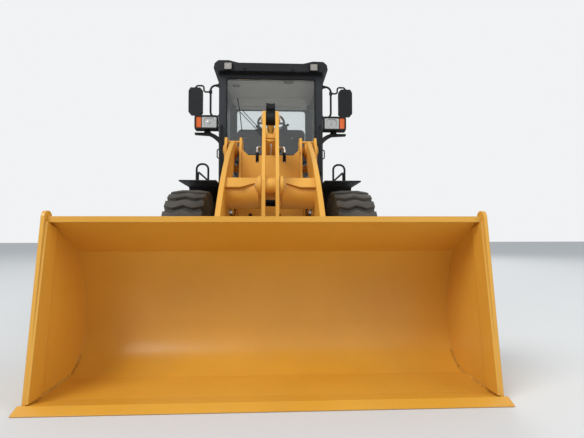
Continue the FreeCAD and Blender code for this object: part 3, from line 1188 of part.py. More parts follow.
for side, span in both(dim.lamp_x - dim.lamp_half, dim.lamp_x + dim.lamp_half):
    case = box("lamp_case_raw", span, (dim.lamp_y, dim.lamp_y + 120), (dim.lamp_low, dim.lamp_high))
    room = box("lamp_room", (span[0] + dim.lamp_rim, span[1] - dim.lamp_rim), (dim.lamp_y - 5,
                                                                               dim.lamp_y + dim.lamp_sunk),
               (dim.lamp_low + dim.lamp_rim, dim.lamp_high - dim.lamp_rim))
    lamp_parts.append(without("lamp_case", case, [room]))
inner_edge = dim.lamp_x - dim.lamp_half + dim.lamp_rim + fit
outer_edge = dim.lamp_x + dim.lamp_half - dim.lamp_rim - fit
lens_y = (dim.lamp_y + 3, dim.lamp_y + dim.lamp_sunk - fit)
lens_z = (dim.lamp_low + dim.lamp_rim + fit, dim.lamp_high - dim.lamp_rim - fit)
for side, span in both(inner_edge, outer_edge - dim.signal_wide - fit):
    lenses.append(box("lamp_lens", span, lens_y, lens_z))
for side, span in both(outer_edge - dim.signal_wide, outer_edge):
    signals.append(box("turn_signal", span, lens_y, lens_z))
node("lamp_brackets", joined("lamp_brackets", bracket_parts))
node("head_lamps", joined("head_lamps", lamp_parts))
node("lamp_lenses", joined("lamp_lenses", lenses))
node("turn_signals", joined("turn_signals", signals))

doc.recompute()
for made in doc.Objects:
    if "Invalid" in made.State or "Error" in made.State:
        raise ValueError("%s did not compute: %s" % (made.Label, made.State))
for made in nodes:
    if made.Shape.isNull() or not made.Shape.isValid() or not made.Shape.Solids:
        raise ValueError(made.Label + " has no valid solid")
os.makedirs("parts", exist_ok=True)
for made in nodes:
    made.Shape.exportStep("parts/%s.step" % made.Label)
print(len(nodes), "parts written")
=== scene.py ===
import math

import bmesh
import bpy
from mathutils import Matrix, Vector


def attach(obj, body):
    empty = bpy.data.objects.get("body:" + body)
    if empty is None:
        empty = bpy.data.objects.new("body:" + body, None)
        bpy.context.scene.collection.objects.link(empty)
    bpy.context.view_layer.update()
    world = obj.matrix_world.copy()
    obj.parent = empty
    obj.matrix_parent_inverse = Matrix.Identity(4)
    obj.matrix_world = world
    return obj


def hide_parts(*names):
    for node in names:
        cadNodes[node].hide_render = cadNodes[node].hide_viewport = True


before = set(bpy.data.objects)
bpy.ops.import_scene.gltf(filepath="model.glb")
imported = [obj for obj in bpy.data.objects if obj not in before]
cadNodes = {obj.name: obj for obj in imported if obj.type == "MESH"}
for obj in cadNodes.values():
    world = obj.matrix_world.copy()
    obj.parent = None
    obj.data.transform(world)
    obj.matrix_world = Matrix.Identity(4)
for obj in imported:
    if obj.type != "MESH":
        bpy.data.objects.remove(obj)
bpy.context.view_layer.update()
print("frame loaded:", len(cadNodes), "nodes")


class Shade:
    # one socket of a node tree, so that masks and places are written as sums
    def __init__(self, look, socket):
        self.look = look
        self.socket = socket

    def math(self, operation, first, second):
        return self.look.node("ShaderNodeMath", {"operation": operation}, {0: first, 1: second})

    def __add__(self, other):
        return self.math("ADD", self, other)

    def __radd__(self, other):
        return self.math("ADD", other, self)

    def __sub__(self, other):
        return self.math("SUBTRACT", self, other)

    def __rsub__(self, other):
        return self.math("SUBTRACT", other, self)

    def __mul__(self, other):
        return self.math("MULTIPLY", self, other)

    def __rmul__(self, other):
        return self.math("MULTIPLY", other, self)

    def __pow__(self, other):
        return self.math("POWER", self, other)


class Tree:
    # a node tree with one method for every kind of node
    def node(self, kind, settings, values, output=0):
        made = self.tree.nodes.new(kind)
        for key, value in settings.items():
            if key == "stops":
                ramp = made.color_ramp
                while len(ramp.elements) < len(value):
                    ramp.elements.new(0.5)
                for stop, (at, shade) in zip(ramp.elements, value):
                    stop.position = at
                    stop.color = (shade, shade, shade, 1) if isinstance(shade, (int, float)) else shade
            else:
                setattr(made, key, value)
        for key, value in values.items():
            if isinstance(value, Shade):
                self.tree.links.new(value.socket, made.inputs[key])
            else:
                made.inputs[key].default_value = value
        return Shade(self, made.outputs[output]) if made.outputs else None


class Look(Tree):
    # one material
    def __init__(self, name):
        self.material = bpy.data.materials.new(name)
        self.material.use_nodes = True
        self.tree = self.material.node_tree
        self.tree.nodes.clear()
        self.place = self.node("ShaderNodeTexCoord", {}, {}, "Object")

    def noise(self, scale, detail=3.0, stretch=None):
        where = self.place
        if stretch:
            where = self.node("ShaderNodeVectorMath", {"operation": "MULTIPLY"}, {0: self.place, 1: stretch})
        return self.node("ShaderNodeTexNoise", {}, {"Vector": where, "Scale": scale, "Detail": detail})

    def band(self, value, low, high):
        # 0 below low, 1 above high
        return self.node("ShaderNodeMapRange", {}, {0: value, 1: low, 2: high, 3: 0.0, 4: 1.0})

    def mixed(self, mask, under, over):
        return self.node("ShaderNodeMix", {"data_type": "RGBA"}, {0: mask, 6: under, 7: over}, 2)

    def axis(self, letter):
        return self.node("ShaderNodeSeparateXYZ", {}, {0: self.place}, letter)

    def edges(self, radius):
        # 1 on convex and concave edges; also the rounded normal
        soft = self.node("ShaderNodeBevel", {"samples": 4}, {"Radius": radius})
        flat = self.node("ShaderNodeNewGeometry", {}, {}, "Normal")
        same = self.node("ShaderNodeVectorMath", {"operation": "DOT_PRODUCT"}, {0: soft, 1: flat}, "Value")
        return self.band(1.0 - same, 0.004, 0.09), soft

    def surface(self, base, rough, metal=0.0, bump=None, strength=0.2, depth=0.002, normal=None, **fixed):
        values = {"Base Color": base, "Roughness": rough, "Metallic": metal}
        if bump is not None:
            heights = {"Height": bump, "Strength": strength, "Distance": depth}
            if normal is not None:
                heights["Normal"] = normal
            values["Normal"] = self.node("ShaderNodeBump", {}, heights)
        elif normal is not None:
            values["Normal"] = normal
        values.update({key.replace("_", " "): value for key, value in fixed.items()})
        skin = self.node("ShaderNodeBsdfPrincipled", {}, values)
        self.node("ShaderNodeOutputMaterial", {}, {"Surface": skin})
        return self.material


def rgb(red, green, blue):
    # linear colour from the usual 0 to 255 numbers
    def straight(part):
        part = part / 255
        return part / 12.92 if part <= 0.04045 else ((part + 0.055) / 1.055) ** 2.4
    return (straight(red), straight(green), straight(blue), 1.0)


def paintLook(name, colour, faded, dust, gloss=0.42, wear=0.5, dusty=0.5, shine=0.5):
    look = Look(name)
    patch = look.noise(1.7, 4.0)
    fine = look.noise(38.0, 3.0)
    coat = look.mixed(look.band(patch, 0.35, 0.72), colour, faded)
    low = 1.0 - look.band(look.axis("Z"), 0.15, 1.3)
    grime = look.band(look.noise(5.5, 5.0, (1, 1, 0.45)), 0.42, 0.75) * (0.25 + 0.75 * low) * dusty
    coat = look.mixed(grime, coat, dust)
    edge, soft = look.edges(0.006)
    chips = edge * look.band(look.noise(23.0, 4.0), 0.50, 0.62) * wear
    coat = look.mixed(chips, coat, (0.16, 0.13, 0.10, 1))
    rough = gloss + 0.18 * fine + 0.25 * grime
    return look.surface(coat, rough, bump=fine, strength=0.06, depth=0.002, normal=soft,
                        Specular_IOR_Level=shine)


paintColours = {
    "orange": rgb(221, 160, 54), "orangeFaded": rgb(227, 169, 68), "orangeDust": rgb(176, 146, 100),
    "charcoal": rgb(36, 39, 43), "charcoalFaded": rgb(44, 47, 51), "charcoalDust": rgb(84, 80, 74),
    "black": rgb(23, 23, 24), "blackFaded": rgb(32, 32, 32), "blackDust": rgb(72, 68, 62),
}
orangePaint = paintLook("orangePaint", paintColours["orange"], paintColours["orangeFaded"],
                        paintColours["orangeDust"], wear=0.2, dusty=0.2)
bucketPaint = paintLook("bucketPaint", rgb(212, 152, 48), rgb(217, 160, 60), rgb(166, 130, 76), gloss=0.25,
                        wear=0.06, dusty=0.1)
charcoalPaint = paintLook("charcoalPaint", paintColours["charcoal"], paintColours["charcoalFaded"],
                          paintColours["charcoalDust"], gloss=0.42, wear=0.1, dusty=0.15, shine=0.25)
blackPaint = paintLook("blackPaint", paintColours["black"], paintColours["blackFaded"],
                       paintColours["blackDust"], gloss=0.48, wear=0.15, dusty=0.2, shine=0.22)


def plasticLook(name, colour, paler, gloss):
    look = Look(name)
    grain = look.noise(420.0, 2.0)
    coat = look.mixed(look.band(look.noise(6.0, 3.0), 0.35, 0.75), colour, paler)
    soft = look.edges(0.003)[1]
    return look.surface(coat, gloss + 0.1 * grain, bump=grain, strength=0.12, depth=0.0006, normal=soft,
                        Specular_IOR_Level=0.22)


blackPlastic = plasticLook("blackPlastic", rgb(18, 19, 20), rgb(27, 28, 29), 0.52)
roofPlastic = plasticLook("roofPlastic", rgb(25, 26, 28), rgb(33, 34, 36), 0.52)
rubberSeal = plasticLook("rubberSeal", rgb(20, 20, 20), rgb(30, 30, 29), 0.68)


def steelLook(name, colour, scratch, rough):
    look = Look(name)
    lines = look.noise(60.0, 4.0, (1, 18, 1))
    spots = look.band(look.noise(9.0, 4.0), 0.40, 0.70)
    coat = look.mixed(spots, colour, scratch)
    edge, soft = look.edges(0.004)
    coat = look.mixed(edge * 0.6, coat, (0.75, 0.73, 0.70, 1))
    return look.surface(coat, rough + 0.25 * lines, metal=0.75, bump=lines, strength=0.15, depth=0.0015, normal=soft)


castBlack = steelLook("castBlack", (0.035, 0.035, 0.036, 1), (0.07, 0.06, 0.05, 1), 0.55)
boltSteel = steelLook("boltSteel", (0.30, 0.29, 0.28, 1), (0.16, 0.13, 0.11, 1), 0.4)


def chromeLook():
    look = Look("rodChrome")
    film = look.band(look.noise(14.0, 4.0, (1, 1, 6)), 0.45, 0.75)
    return look.surface((0.62, 0.63, 0.64, 1), 0.10 + 0.12 * film, metal=1.0)


rodChrome = chromeLook()


def tyreLook(name, rubber, dust):
    look = Look(name)
    grit = look.noise(70.0, 5.0)
    broad = look.band(look.noise(4.0, 4.0), 0.35, 0.70)
    coat = look.mixed(broad * 0.75, rubber, dust)
    coat = look.mixed(look.band(grit, 0.55, 0.75) * 0.5, coat, rgb(104, 96, 84))
    soft = look.edges(0.006)[1]
    return look.surface(coat, 0.82 + 0.1 * grit, bump=grit, strength=0.25, depth=0.003, normal=soft)


tyreRubber = tyreLook("tyreRubber", rgb(34, 33, 32), rgb(74, 69, 62))
treadRubber = tyreLook("treadRubber", rgb(58, 55, 51), rgb(86, 80, 73))


def glassLook(name, tint, haze):
    # clear glass with a little pale haze on it
    look = Look(name)
    smear = look.band(look.noise(2.2, 5.0), 0.35, 0.80)
    clear = look.node("ShaderNodeBsdfTransparent", {}, {"Color": tint})
    film = look.node("ShaderNodeBsdfDiffuse", {}, {"Color": (0.80, 0.82, 0.82, 1)})
    hazy = look.node("ShaderNodeMixShader", {}, {0: haze + haze * smear, 1: clear, 2: film})
    shine = look.node("ShaderNodeBsdfGlossy", {}, {"Color": (1, 1, 1, 1), "Roughness": 0.02})
    gloss = look.node("ShaderNodeFresnel", {}, {"IOR": 1.5})
    pane = look.node("ShaderNodeMixShader", {}, {0: gloss, 1: hazy, 2: shine})
    look.node("ShaderNodeOutputMaterial", {}, {"Surface": pane})
    return look.material


cabGlass = glassLook("cabGlass", (0.93, 0.95, 0.95, 1), 0.018)
lampGlass = glassLook("lampGlass", (0.95, 0.95, 0.95, 1), 0.06)


def lensLook(name, colour, glow):
    look = Look(name)
    ribs = look.node("ShaderNodeTexWave", {"wave_type": "BANDS", "bands_direction": "X"},
                     {"Vector": look.place, "Scale": 55.0, "Distortion": 0.0}, "Fac")
    cast = look.noise(40.0, 2.0)
    tint = look.mixed(0.06 * cast, colour, (1, 1, 1, 1))
    return look.surface(tint, 0.08 + 0.05 * cast, bump=ribs, strength=0.35, depth=0.002,
                        Emission_Color=colour, Emission_Strength=glow, Specular_IOR_Level=0.25)


clearLens = lensLook("clearLens", rgb(140, 136, 128), 0.0)
amberLens = lensLook("amberLens", rgb(214, 92, 4), 0.03)
redLens = lensLook("redLens", rgb(170, 22, 16), 0.05)


def clothLook():
    look = Look("seatCloth")
    weave = look.node("ShaderNodeTexWave", {"wave_type": "BANDS", "bands_direction": "DIAGONAL"},
                      {"Vector": look.place, "Scale": 260.0, "Distortion": 2.0}, "Fac")
    pile = look.noise(300.0, 2.0)
    coat = look.mixed(look.band(look.noise(9.0, 3.0), 0.3, 0.7), rgb(44, 45, 48), rgb(60, 60, 63))
    return look.surface(coat, 0.85 + 0.1 * pile, bump=weave * 0.5 + pile * 0.5, strength=0.3, depth=0.001,
                        Sheen_Weight=0.3)


seatCloth = clothLook()
paleLining = plasticLook("paleLining", rgb(226, 216, 205), rgb(232, 223, 213), 0.7)
greyPlastic = plasticLook("greyPlastic", rgb(92, 92, 92), rgb(104, 104, 103), 0.6)


def mirrorLook(name, colour, rough):
    look = Look(name)
    film = look.band(look.noise(9.0, 4.0), 0.40, 0.80)
    return look.surface(colour, rough + 0.10 * film, metal=1.0)


mirrorSilver = mirrorLook("mirrorSilver", (0.80, 0.81, 0.82, 1), 0.03)
fittingSteel = mirrorLook("fittingSteel", (0.55, 0.55, 0.54, 1), 0.22)

nodeLooks = {
    orangePaint: ["front_frame", "boom", "rocker", "link", "tilt_barrel", "lift_left_barrel", "lift_right_barrel",
                  "rear_frame", "hood", "hood_sills", "rim_front_left", "rim_front_right", "rim_rear_left",
                  "rim_rear_right"],
    bucketPaint: ["bucket", "cutting_edge"],
    rodChrome: ["tilt_rod", "lift_left_rod", "lift_right_rod", "steer_left_rod", "steer_right_rod"],
    tyreRubber: ["tyre_front_left", "tyre_front_right", "tyre_rear_left", "tyre_rear_right"],
    castBlack: ["front_axle", "rear_axle", "gearbox", "engine_block"],
    charcoalPaint: ["cab_shell", "door_left", "door_right", "radiator_housing", "counterweight"],
    blackPaint: ["steer_left_barrel", "steer_right_barrel", "decks", "side_boxes", "deck_rails", "cab_floor",
                 "seat_base", "exhaust", "lamp_brackets", "front_fenders"],
    blackPlastic: ["dashboard", "steering_wheel", "mirrors", "head_lamps"],
    roofPlastic: ["cab_roof"],
    cabGlass: ["windscreen", "rear_window", "side_glass", "door_glass_left", "door_glass_right"],
    clearLens: ["roof_lamps"],
    redLens: ["tail_lamps"],
    lampGlass: ["lamp_lenses"],
    amberLens: ["turn_signals"],
    seatCloth: ["seat_cushion"],
}
for look, names in nodeLooks.items():
    for name in names:
        cadNodes[name].data.materials.clear()
        cadNodes[name].data.materials.append(look)
print("materials made")


# The detail pieces: each form is one mesh of one look on one body.

def softened(points, bend):
    # the corners of a route become short curves
    path = [Vector(points[0])]
    for before, corner, after in zip(points, points[1:], points[2:]):
        corner, into, out = Vector(corner), Vector(before) - Vector(corner), Vector(after) - Vector(corner)
        reach = min(bend, 0.49 * into.length, 0.49 * out.length)
        first, last = corner + into.normalized() * reach, corner + out.normalized() * reach
        for step in range(7):
            share = step / 6
            path.append(first * (1 - share) ** 2 + corner * 2 * share * (1 - share) + last * share ** 2)
    path.append(Vector(points[-1]))
    return path


def roundedBox(low, high, corner, steps=5):
    # a rectangle with round corners, from its lowest to its highest corner
    (left, foot), (right, top) = low, high
    spots = []
    for across, up, start in ((right, top, 0), (left, top, 90), (left, foot, 180), (right, foot, 270)):
        centre = (across - math.copysign(corner, across - (left + right) / 2),
                  up - math.copysign(corner, up - (foot + top) / 2))
        for step in range(steps + 1):
            angle = math.radians(start + 90 * step / steps)
            spots.append((centre[0] + corner * math.cos(angle), centre[1] + corner * math.sin(angle)))
    return spots


def joinRings(grown, near, far):
    # quads between two rings of as many corners
    for index in range(len(near)):
        after = (index + 1) % len(near)
        grown.faces.new((near[index], near[after], far[after], far[index]))


class Form:
    def __init__(self, name, look, body):
        self.name = name
        self.look = look
        self.body = body
        self.mesh = bmesh.new()

    def take(self, grown, soft, steps):
        bmesh.ops.remove_doubles(grown, verts=grown.verts, dist=0.00001)
        bmesh.ops.recalc_face_normals(grown, faces=grown.faces)
        if soft:
            sharp = [edge for edge in grown.edges if edge.calc_face_angle(0) > 0.5]
            bmesh.ops.bevel(grown, geom=sharp, offset=soft, segments=steps, profile=0.5, affect="EDGES",
                            clamp_overlap=True)
        kept = bpy.data.meshes.new("grown")
        grown.to_mesh(kept)
        grown.free()
        self.mesh.from_mesh(kept)
        bpy.data.meshes.remove(kept)

    def laid(self, axis, level, spot):
        place = list(spot)
        place.insert("XYZ".index(axis), level)
        return Vector(place)

    def plate(self, axis, low, high, outline, soft=0.002, steps=2):
        # flat, between two levels of one axis; the outline holds the other two coordinates
        grown = bmesh.new()
        rings = [[grown.verts.new(self.laid(axis, level, spot)) for spot in outline] for level in (low, high)]
        for ring in rings:
            grown.faces.new(ring)
        joinRings(grown, *rings)
        self.take(grown, soft, steps)

    def ring(self, axis, low, high, outer, inner, soft=0.001):
        # a flat frame between two outlines of as many corners
        grown = bmesh.new()
        loops = [[grown.verts.new(self.laid(axis, level, spot)) for spot in outline]
                 for level, outline in ((low, outer), (high, outer), (high, inner), (low, inner))]
        for near, far in zip(loops, loops[1:] + loops[:1]):
            joinRings(grown, near, far)
        self.take(grown, soft, 1)

    def turned(self, start, ahead, profile, steps=28, soft=0.0, hollow=False):
        # a lathe shape; a row of the profile is (way along, radius), and a hollow one closes on itself
        ahead = Vector(ahead).normalized()
        across = ahead.orthogonal().normalized()
        other = ahead.cross(across)
        grown = bmesh.new()
        rings = []
        for along, radius in profile:
            middle = Vector(start) + ahead * along
            ring = []
            for step in range(steps if radius else 1):
                angle = math.tau * step / steps
                ring.append(grown.verts.new(middle + (across * math.cos(angle) + other * math.sin(angle)) * radius))
            rings.append(ring)
        if hollow:
            rings.append(rings[0])
        else:
            for ring in (rings[0], rings[-1]):
                if len(ring) > 1:
                    grown.faces.new(ring)
        for near, far in zip(rings, rings[1:]):
            if len(near) == len(far):
                joinRings(grown, near, far)
                continue
            tip, brim = (near, far) if len(near) == 1 else (far, near)
            for step in range(steps):
                grown.faces.new((tip[0], brim[step], brim[(step + 1) % steps]))
        self.take(grown, soft, 2)

    def hoop(self, start, ahead, profile, steps=28):
        self.turned(start, ahead, profile, steps, hollow=True)

    def tube(self, points, radius, bend=0.03, steps=10, ripple=0.0, closed=False):
        # a round bar along a route; ripple makes it a weld bead
        path = points if closed else softened(points, bend)
        path = [Vector(spot) for spot in path]
        grown = bmesh.new()
        across = None
        rings = []
        for index, spot in enumerate(path):
            if closed:
                ahead = path[(index + 1) % len(path)] - path[index - 1]
            else:
                ahead = path[min(index + 1, len(path) - 1)] - path[max(index - 1, 0)]
            ahead.normalize()
            across = ahead.orthogonal() if across is None else across - ahead * across.dot(ahead)
            across.normalize()
            other = ahead.cross(across)
            wide = radius * (1 + ripple * (index % 2))
            rings.append([grown.verts.new(spot + (across * math.cos(math.tau * step / steps)
                                                  + other * math.sin(math.tau * step / steps)) * wide)
                          for step in range(steps)])
        if closed:
            rings.append(rings[0])
        else:
            grown.faces.new(rings[0])
            grown.faces.new(rings[-1])
        for near, far in zip(rings, rings[1:]):
            joinRings(grown, near, far)
        self.take(grown, 0.0, 1)

    def bead(self, points, radius=0.006, closed=False):
        # a weld along a route of straight runs
        path = []
        runs = list(zip(points, points[1:] + points[:1] if closed else points[1:]))
        for first, last in runs:
            first, last = Vector(first), Vector(last)
            count = max(2, int((last - first).length / 0.007))
            path += [first.lerp(last, step / count) for step in range(count)]
        if not closed:
            path.append(Vector(points[-1]))
        self.tube(path, radius, bend=0.0, steps=6, ripple=0.35, closed=closed)

    def meshed(self):
        made = bpy.data.meshes.new(self.name)
        self.mesh.to_mesh(made)
        self.mesh.free()
        return made

    def done(self):
        ridden(self.name, self.meshed(), self.look, self.body)


def ridden(name, mesh, look, body):
    mesh.polygons.foreach_set("use_smooth", [True] * len(mesh.polygons))
    mesh.set_sharp_from_angle(angle=math.radians(32))
    mesh.materials.clear()
    mesh.materials.append(look)
    piece = bpy.data.objects.new(name, mesh)
    bpy.context.scene.collection.objects.link(piece)
    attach(piece, body)
    return piece


def circle(centre, axis, radius, count, turn=0.0):
    # places round a centre, on the two axes other than the given one
    first, second = [index for index in range(3) if "XYZ"[index] != axis]
    places = []
    for step in range(count):
        angle = math.tau * (step + turn) / count
        spot = list(centre)
        spot[first] += radius * math.cos(angle)
        spot[second] += radius * math.sin(angle)
        places.append(tuple(spot))
    return places


# Repeated pieces come from node groups: bolts and studs on places, slats along a line, lugs round a tyre.

class Field(Tree):
    def __init__(self, name, inputs):
        self.tree = bpy.data.node_groups.new(name, "GeometryNodeTree")
        self.tree.interface.new_socket("Geometry", in_out="INPUT", socket_type="NodeSocketGeometry")
        self.sockets = {}
        for key, kind in inputs.items():
            made = self.tree.interface.new_socket(key, in_out="INPUT", socket_type=kind)
            self.sockets[key] = made.identifier
        self.tree.interface.new_socket("Geometry", in_out="OUTPUT", socket_type="NodeSocketGeometry")
        self.entry = self.tree.nodes.new("NodeGroupInput")

    def given(self, key):
        return Shade(self, self.entry.outputs[key])

    def named(self, key, kind):
        return self.node("GeometryNodeInputNamedAttribute", {"data_type": kind}, {"Name": key})

    def finish(self, shape):
        real = self.node("GeometryNodeRealizeInstances", {}, {0: shape})
        dressed = self.node("GeometryNodeSetMaterial", {}, {"Geometry": real, "Material": self.given("Look")})
        out = self.tree.nodes.new("NodeGroupOutput")
        self.tree.links.new(dressed.socket, out.inputs[0])

    def grown(self, name, mesh, values, look, body):
        # runs the group on a mesh of places and keeps its result as a plain mesh
        seed = bpy.data.objects.new(name + "Seed", mesh)
        bpy.context.scene.collection.objects.link(seed)
        live = seed.modifiers.new("field", "NODES")
        live.node_group = self.tree
        for key, value in dict(values, Look=look).items():
            live[self.sockets[key]] = value
        shown = seed.evaluated_get(bpy.context.evaluated_depsgraph_get())
        made = bpy.data.meshes.new_from_object(shown)
        made.name = name
        bpy.data.objects.remove(seed)
        ridden(name, made, look, body)


def boltField():
    field = Field("boltField", {"Height": "NodeSocketFloat", "Look": "NodeSocketMaterial"})
    height = field.given("Height")
    head = field.node("GeometryNodeMeshCone", {}, {"Vertices": 6, "Radius Top": 0.86, "Radius Bottom": 1.0,
                                                   "Depth": height})
    washer = field.node("GeometryNodeMeshCone", {}, {"Vertices": 14, "Radius Top": 1.22, "Radius Bottom": 1.34,
                                                     "Depth": 0.2})
    stud = field.node("GeometryNodeMeshCone", {}, {"Vertices": 8, "Radius Top": 0.40, "Radius Bottom": 0.48,
                                                   "Depth": height * 1.35})
    join = field.tree.nodes.new("GeometryNodeJoinGeometry")
    for part in (head, washer, stud):
        field.tree.links.new(part.socket, join.inputs[0])
    turn = field.node("FunctionNodeAlignRotationToVector", {"axis": "Z"},
                      {"Vector": field.named("heading", "FLOAT_VECTOR")})
    spin = field.node("FunctionNodeRandomValue", {"data_type": "FLOAT"}, {2: 0.0, 3: 6.28, "Seed": 7}, 1)
    about = field.node("FunctionNodeAxisAngleToRotation", {}, {"Axis": (0, 0, 1), "Angle": spin})
    both = field.node("FunctionNodeRotateRotation", {"rotation_space": "LOCAL"}, {0: turn, 1: about})
    laid = field.node("GeometryNodeInstanceOnPoints", {}, {
        "Points": field.given("Geometry"), "Instance": Shade(field, join.outputs[0]), "Rotation": both,
        "Scale": field.named("size", "FLOAT")})
    field.finish(laid)
    return field


def slatField():
    # a rounded bar along X, repeated by a step
    field = Field("slatField", {"Count": "NodeSocketInt", "Step": "NodeSocketVector", "Length": "NodeSocketFloat",
                                "Wide": "NodeSocketFloat", "Thick": "NodeSocketFloat", "Lean": "NodeSocketFloat",
                                "Look": "NodeSocketMaterial"})
    ends = field.node("ShaderNodeCombineXYZ", {}, {0: field.given("Length") * 0.5})
    near = field.node("ShaderNodeCombineXYZ", {}, {0: field.given("Length") * -0.5})
    line = field.node("GeometryNodeCurvePrimitiveLine", {}, {"Start": near, "End": ends})
    shape = field.node("GeometryNodeCurvePrimitiveQuadrilateral", {},
                       {"Width": field.given("Wide"), "Height": field.given("Thick")})
    shape = field.node("GeometryNodeFilletCurve", {"mode": "POLY"},
                       {"Curve": shape, "Count": 3, "Radius": field.given("Thick") * 0.4})
    bar = field.node("GeometryNodeCurveToMesh", {}, {"Curve": line, "Profile Curve": shape, "Fill Caps": True})
    places = field.node("GeometryNodeMeshLine", {}, {"Count": field.given("Count"), "Offset": field.given("Step")})
    lean = field.node("ShaderNodeCombineXYZ", {}, {0: field.given("Lean")})
    turn = field.node("FunctionNodeEulerToRotation", {}, {0: lean})
    starts = field.node("GeometryNodeInstanceOnPoints", {}, {"Points": field.given("Geometry"), "Instance": places})
    starts = field.node("GeometryNodeRealizeInstances", {}, {0: starts})
    laid = field.node("GeometryNodeInstanceOnPoints", {}, {"Points": starts, "Instance": bar, "Rotation": turn})
    field.finish(laid)
    return field


def studField():
    # lens-shaped studs whose direction changes from one place to the next
    field = Field("studField", {"Long": "NodeSocketFloat", "High": "NodeSocketFloat", "Look": "NodeSocketMaterial"})
    disc = field.node("GeometryNodeMeshCone", {}, {"Vertices": 8, "Radius Top": 0.55, "Radius Bottom": 1.0,
                                                   "Depth": 1.0})
    long = field.given("Long")
    scale = field.node("ShaderNodeCombineXYZ", {}, {0: long, 1: long * 0.33, 2: field.given("High")})
    disc = field.node("GeometryNodeTransform", {}, {"Geometry": disc, "Scale": scale})
    turn = field.node("ShaderNodeCombineXYZ", {}, {2: field.named("turn", "FLOAT")})
    turn = field.node("FunctionNodeEulerToRotation", {}, {0: turn})
    laid = field.node("GeometryNodeInstanceOnPoints", {}, {"Points": field.given("Geometry"), "Instance": disc,
                                                           "Rotation": turn})
    field.finish(laid)
    return field


def ringField():
    # the given form, repeated round the X axis and then moved to a place
    field = Field("ringField", {"Count": "NodeSocketInt", "Middle": "NodeSocketVector", "Look": "NodeSocketMaterial"})
    count = field.given("Count")
    places = field.node("GeometryNodeMeshLine", {}, {"Count": count, "Offset": (0, 0, 0)})
    step = field.node("GeometryNodeInputIndex", {}, {}) * math.tau
    turn = field.node("ShaderNodeCombineXYZ", {}, {0: step.math("DIVIDE", step, count)})
    turn = field.node("FunctionNodeEulerToRotation", {}, {0: turn})
    laid = field.node("GeometryNodeInstanceOnPoints", {}, {"Points": places, "Instance": field.given("Geometry"),
                                                           "Rotation": turn})
    field.finish(field.node("GeometryNodeTransform", {}, {"Geometry": laid, "Translation": field.given("Middle")}))
    return field


bolts = boltField()
rounds = ringField()
slats = slatField()
studs = studField()


def placed(rows):
    # a mesh of loose places; a row is (place, attributes)
    mesh = bpy.data.meshes.new("places")
    mesh.from_pydata([row[0] for row in rows], [], [])
    for key, value in rows[0][1].items():
        kind = "FLOAT" if isinstance(value, float) else "FLOAT_VECTOR"
        kept = mesh.attributes.new(key, kind, "POINT")
        for index, row in enumerate(rows):
            if kind == "FLOAT":
                kept.data[index].value = row[1][key]
            else:
                kept.data[index].vector = row[1][key]
    return mesh


def bolted(name, groups, look, body, height=0.62):
    # a group is (places, heading, size)
    rows = [(place, {"heading": heading, "size": size}) for places, heading, size in groups for place in places]
    bolts.grown(name, placed(rows), {"Height": height}, look, body)


leftward, rightward, forward, backward = (1, 0, 0), (-1, 0, 0), (0, -1, 0), (0, 1, 0)
upward, downward = (0, 0, 1), (0, 0, -1)


def hoopProfile(low, high, inner, outer):
    return [(low, inner), (low, outer), (high, outer), (high, inner)]


def mirrored(kind, values):
    # the same form on the other side of the machine
    values = list(values)
    if kind in ("tube", "bead"):
        values[0] = [(-spot[0],) + tuple(spot[1:]) for spot in values[0]]
    elif kind in ("turned", "hoop"):
        values[:2] = [(-spot[0],) + tuple(spot[1:]) for spot in values[:2]]
    elif values[0] == "X":
        values[1:3] = -values[2], -values[1]
    else:
        values[3:] = [[(-x, level) for x, level in item] if isinstance(item, list) else item for item in values[3:]]
    return values


def formed(pieces, body):
    # a piece has rows of forms, in the middle or on both sides; a row is the kind of form and its values
    for name, piece in pieces.items():
        form = Form(name, piece["look"], piece.get("body", body))
        for kind, *values in piece.get("middle", []):
            getattr(form, kind)(*values)
        for kind, *values in piece.get("sides", []):
            getattr(form, kind)(*values)
            getattr(form, kind)(*mirrored(kind, values))
        form.done()


# A row of the lug gives the place across the tread, the lean round the tyre in degrees, and how far
# the foot and the crown lie inwards.
lugSizes = {
    "count": 26, "half": 4.0, "reach": 0.186, "foot": 0.628, "crown": 0.673, "soft": 0.006, "start": -90.15,
    "rows": [(-1, -1.7, 0.038, 0.016), (-0.5, 2.0, 0, 0), (0, -1.7, 0, 0), (0.5, 2.0, 0, 0), (1, -1.7, 0.038, 0.016)],
}


def lugMesh():
    lug = Form("lug", treadRubber, "rear_body")
    grown = bmesh.new()
    rings = []
    foot, crown, half = lugSizes["foot"], lugSizes["crown"], lugSizes["half"]
    for share, lean, footDrop, crownDrop in lugSizes["rows"]:
        ring = []
        for radius, turn in ((foot - footDrop, -half), (crown - crownDrop, -half), (crown - crownDrop, half),
                             (foot - footDrop, half)):
            angle = math.radians(lean + turn + lugSizes["start"])
            ring.append(grown.verts.new((share * lugSizes["reach"], radius * math.cos(angle),
                                         radius * math.sin(angle))))
        rings.append(ring)
    for ring in (rings[0], rings[-1]):
        grown.faces.new(ring)
    for near, far in zip(rings, rings[1:]):
        joinRings(grown, near, far)
    lug.take(grown, lugSizes["soft"], 2)
    return lug.meshed()


wheelSizes = {
    "front": -1.15, "rear": 1.70, "track": 0.83, "high": 0.675, "disc": 0.851, "cover": 0.953,
    "nuts": (0.170, 12, 0.015), "screws": (0.082, 8, 0.009), "valve": (0.885, 0.262, 0.120),
    "cap": [(-0.001, 0.060), (0.006, 0.058), (0.010, 0.050), (0.010, 0.030), (0.018, 0.027), (0.018, 0.0)],
    "lip": [(0.001, 0.142), (0.009, 0.140), (0.009, 0.131), (0.001, 0.131)],
    "stem": [(-0.01, 0.010), (0.006, 0.009), (0.010, 0.006), (0.048, 0.0055), (0.050, 0.0)],
}


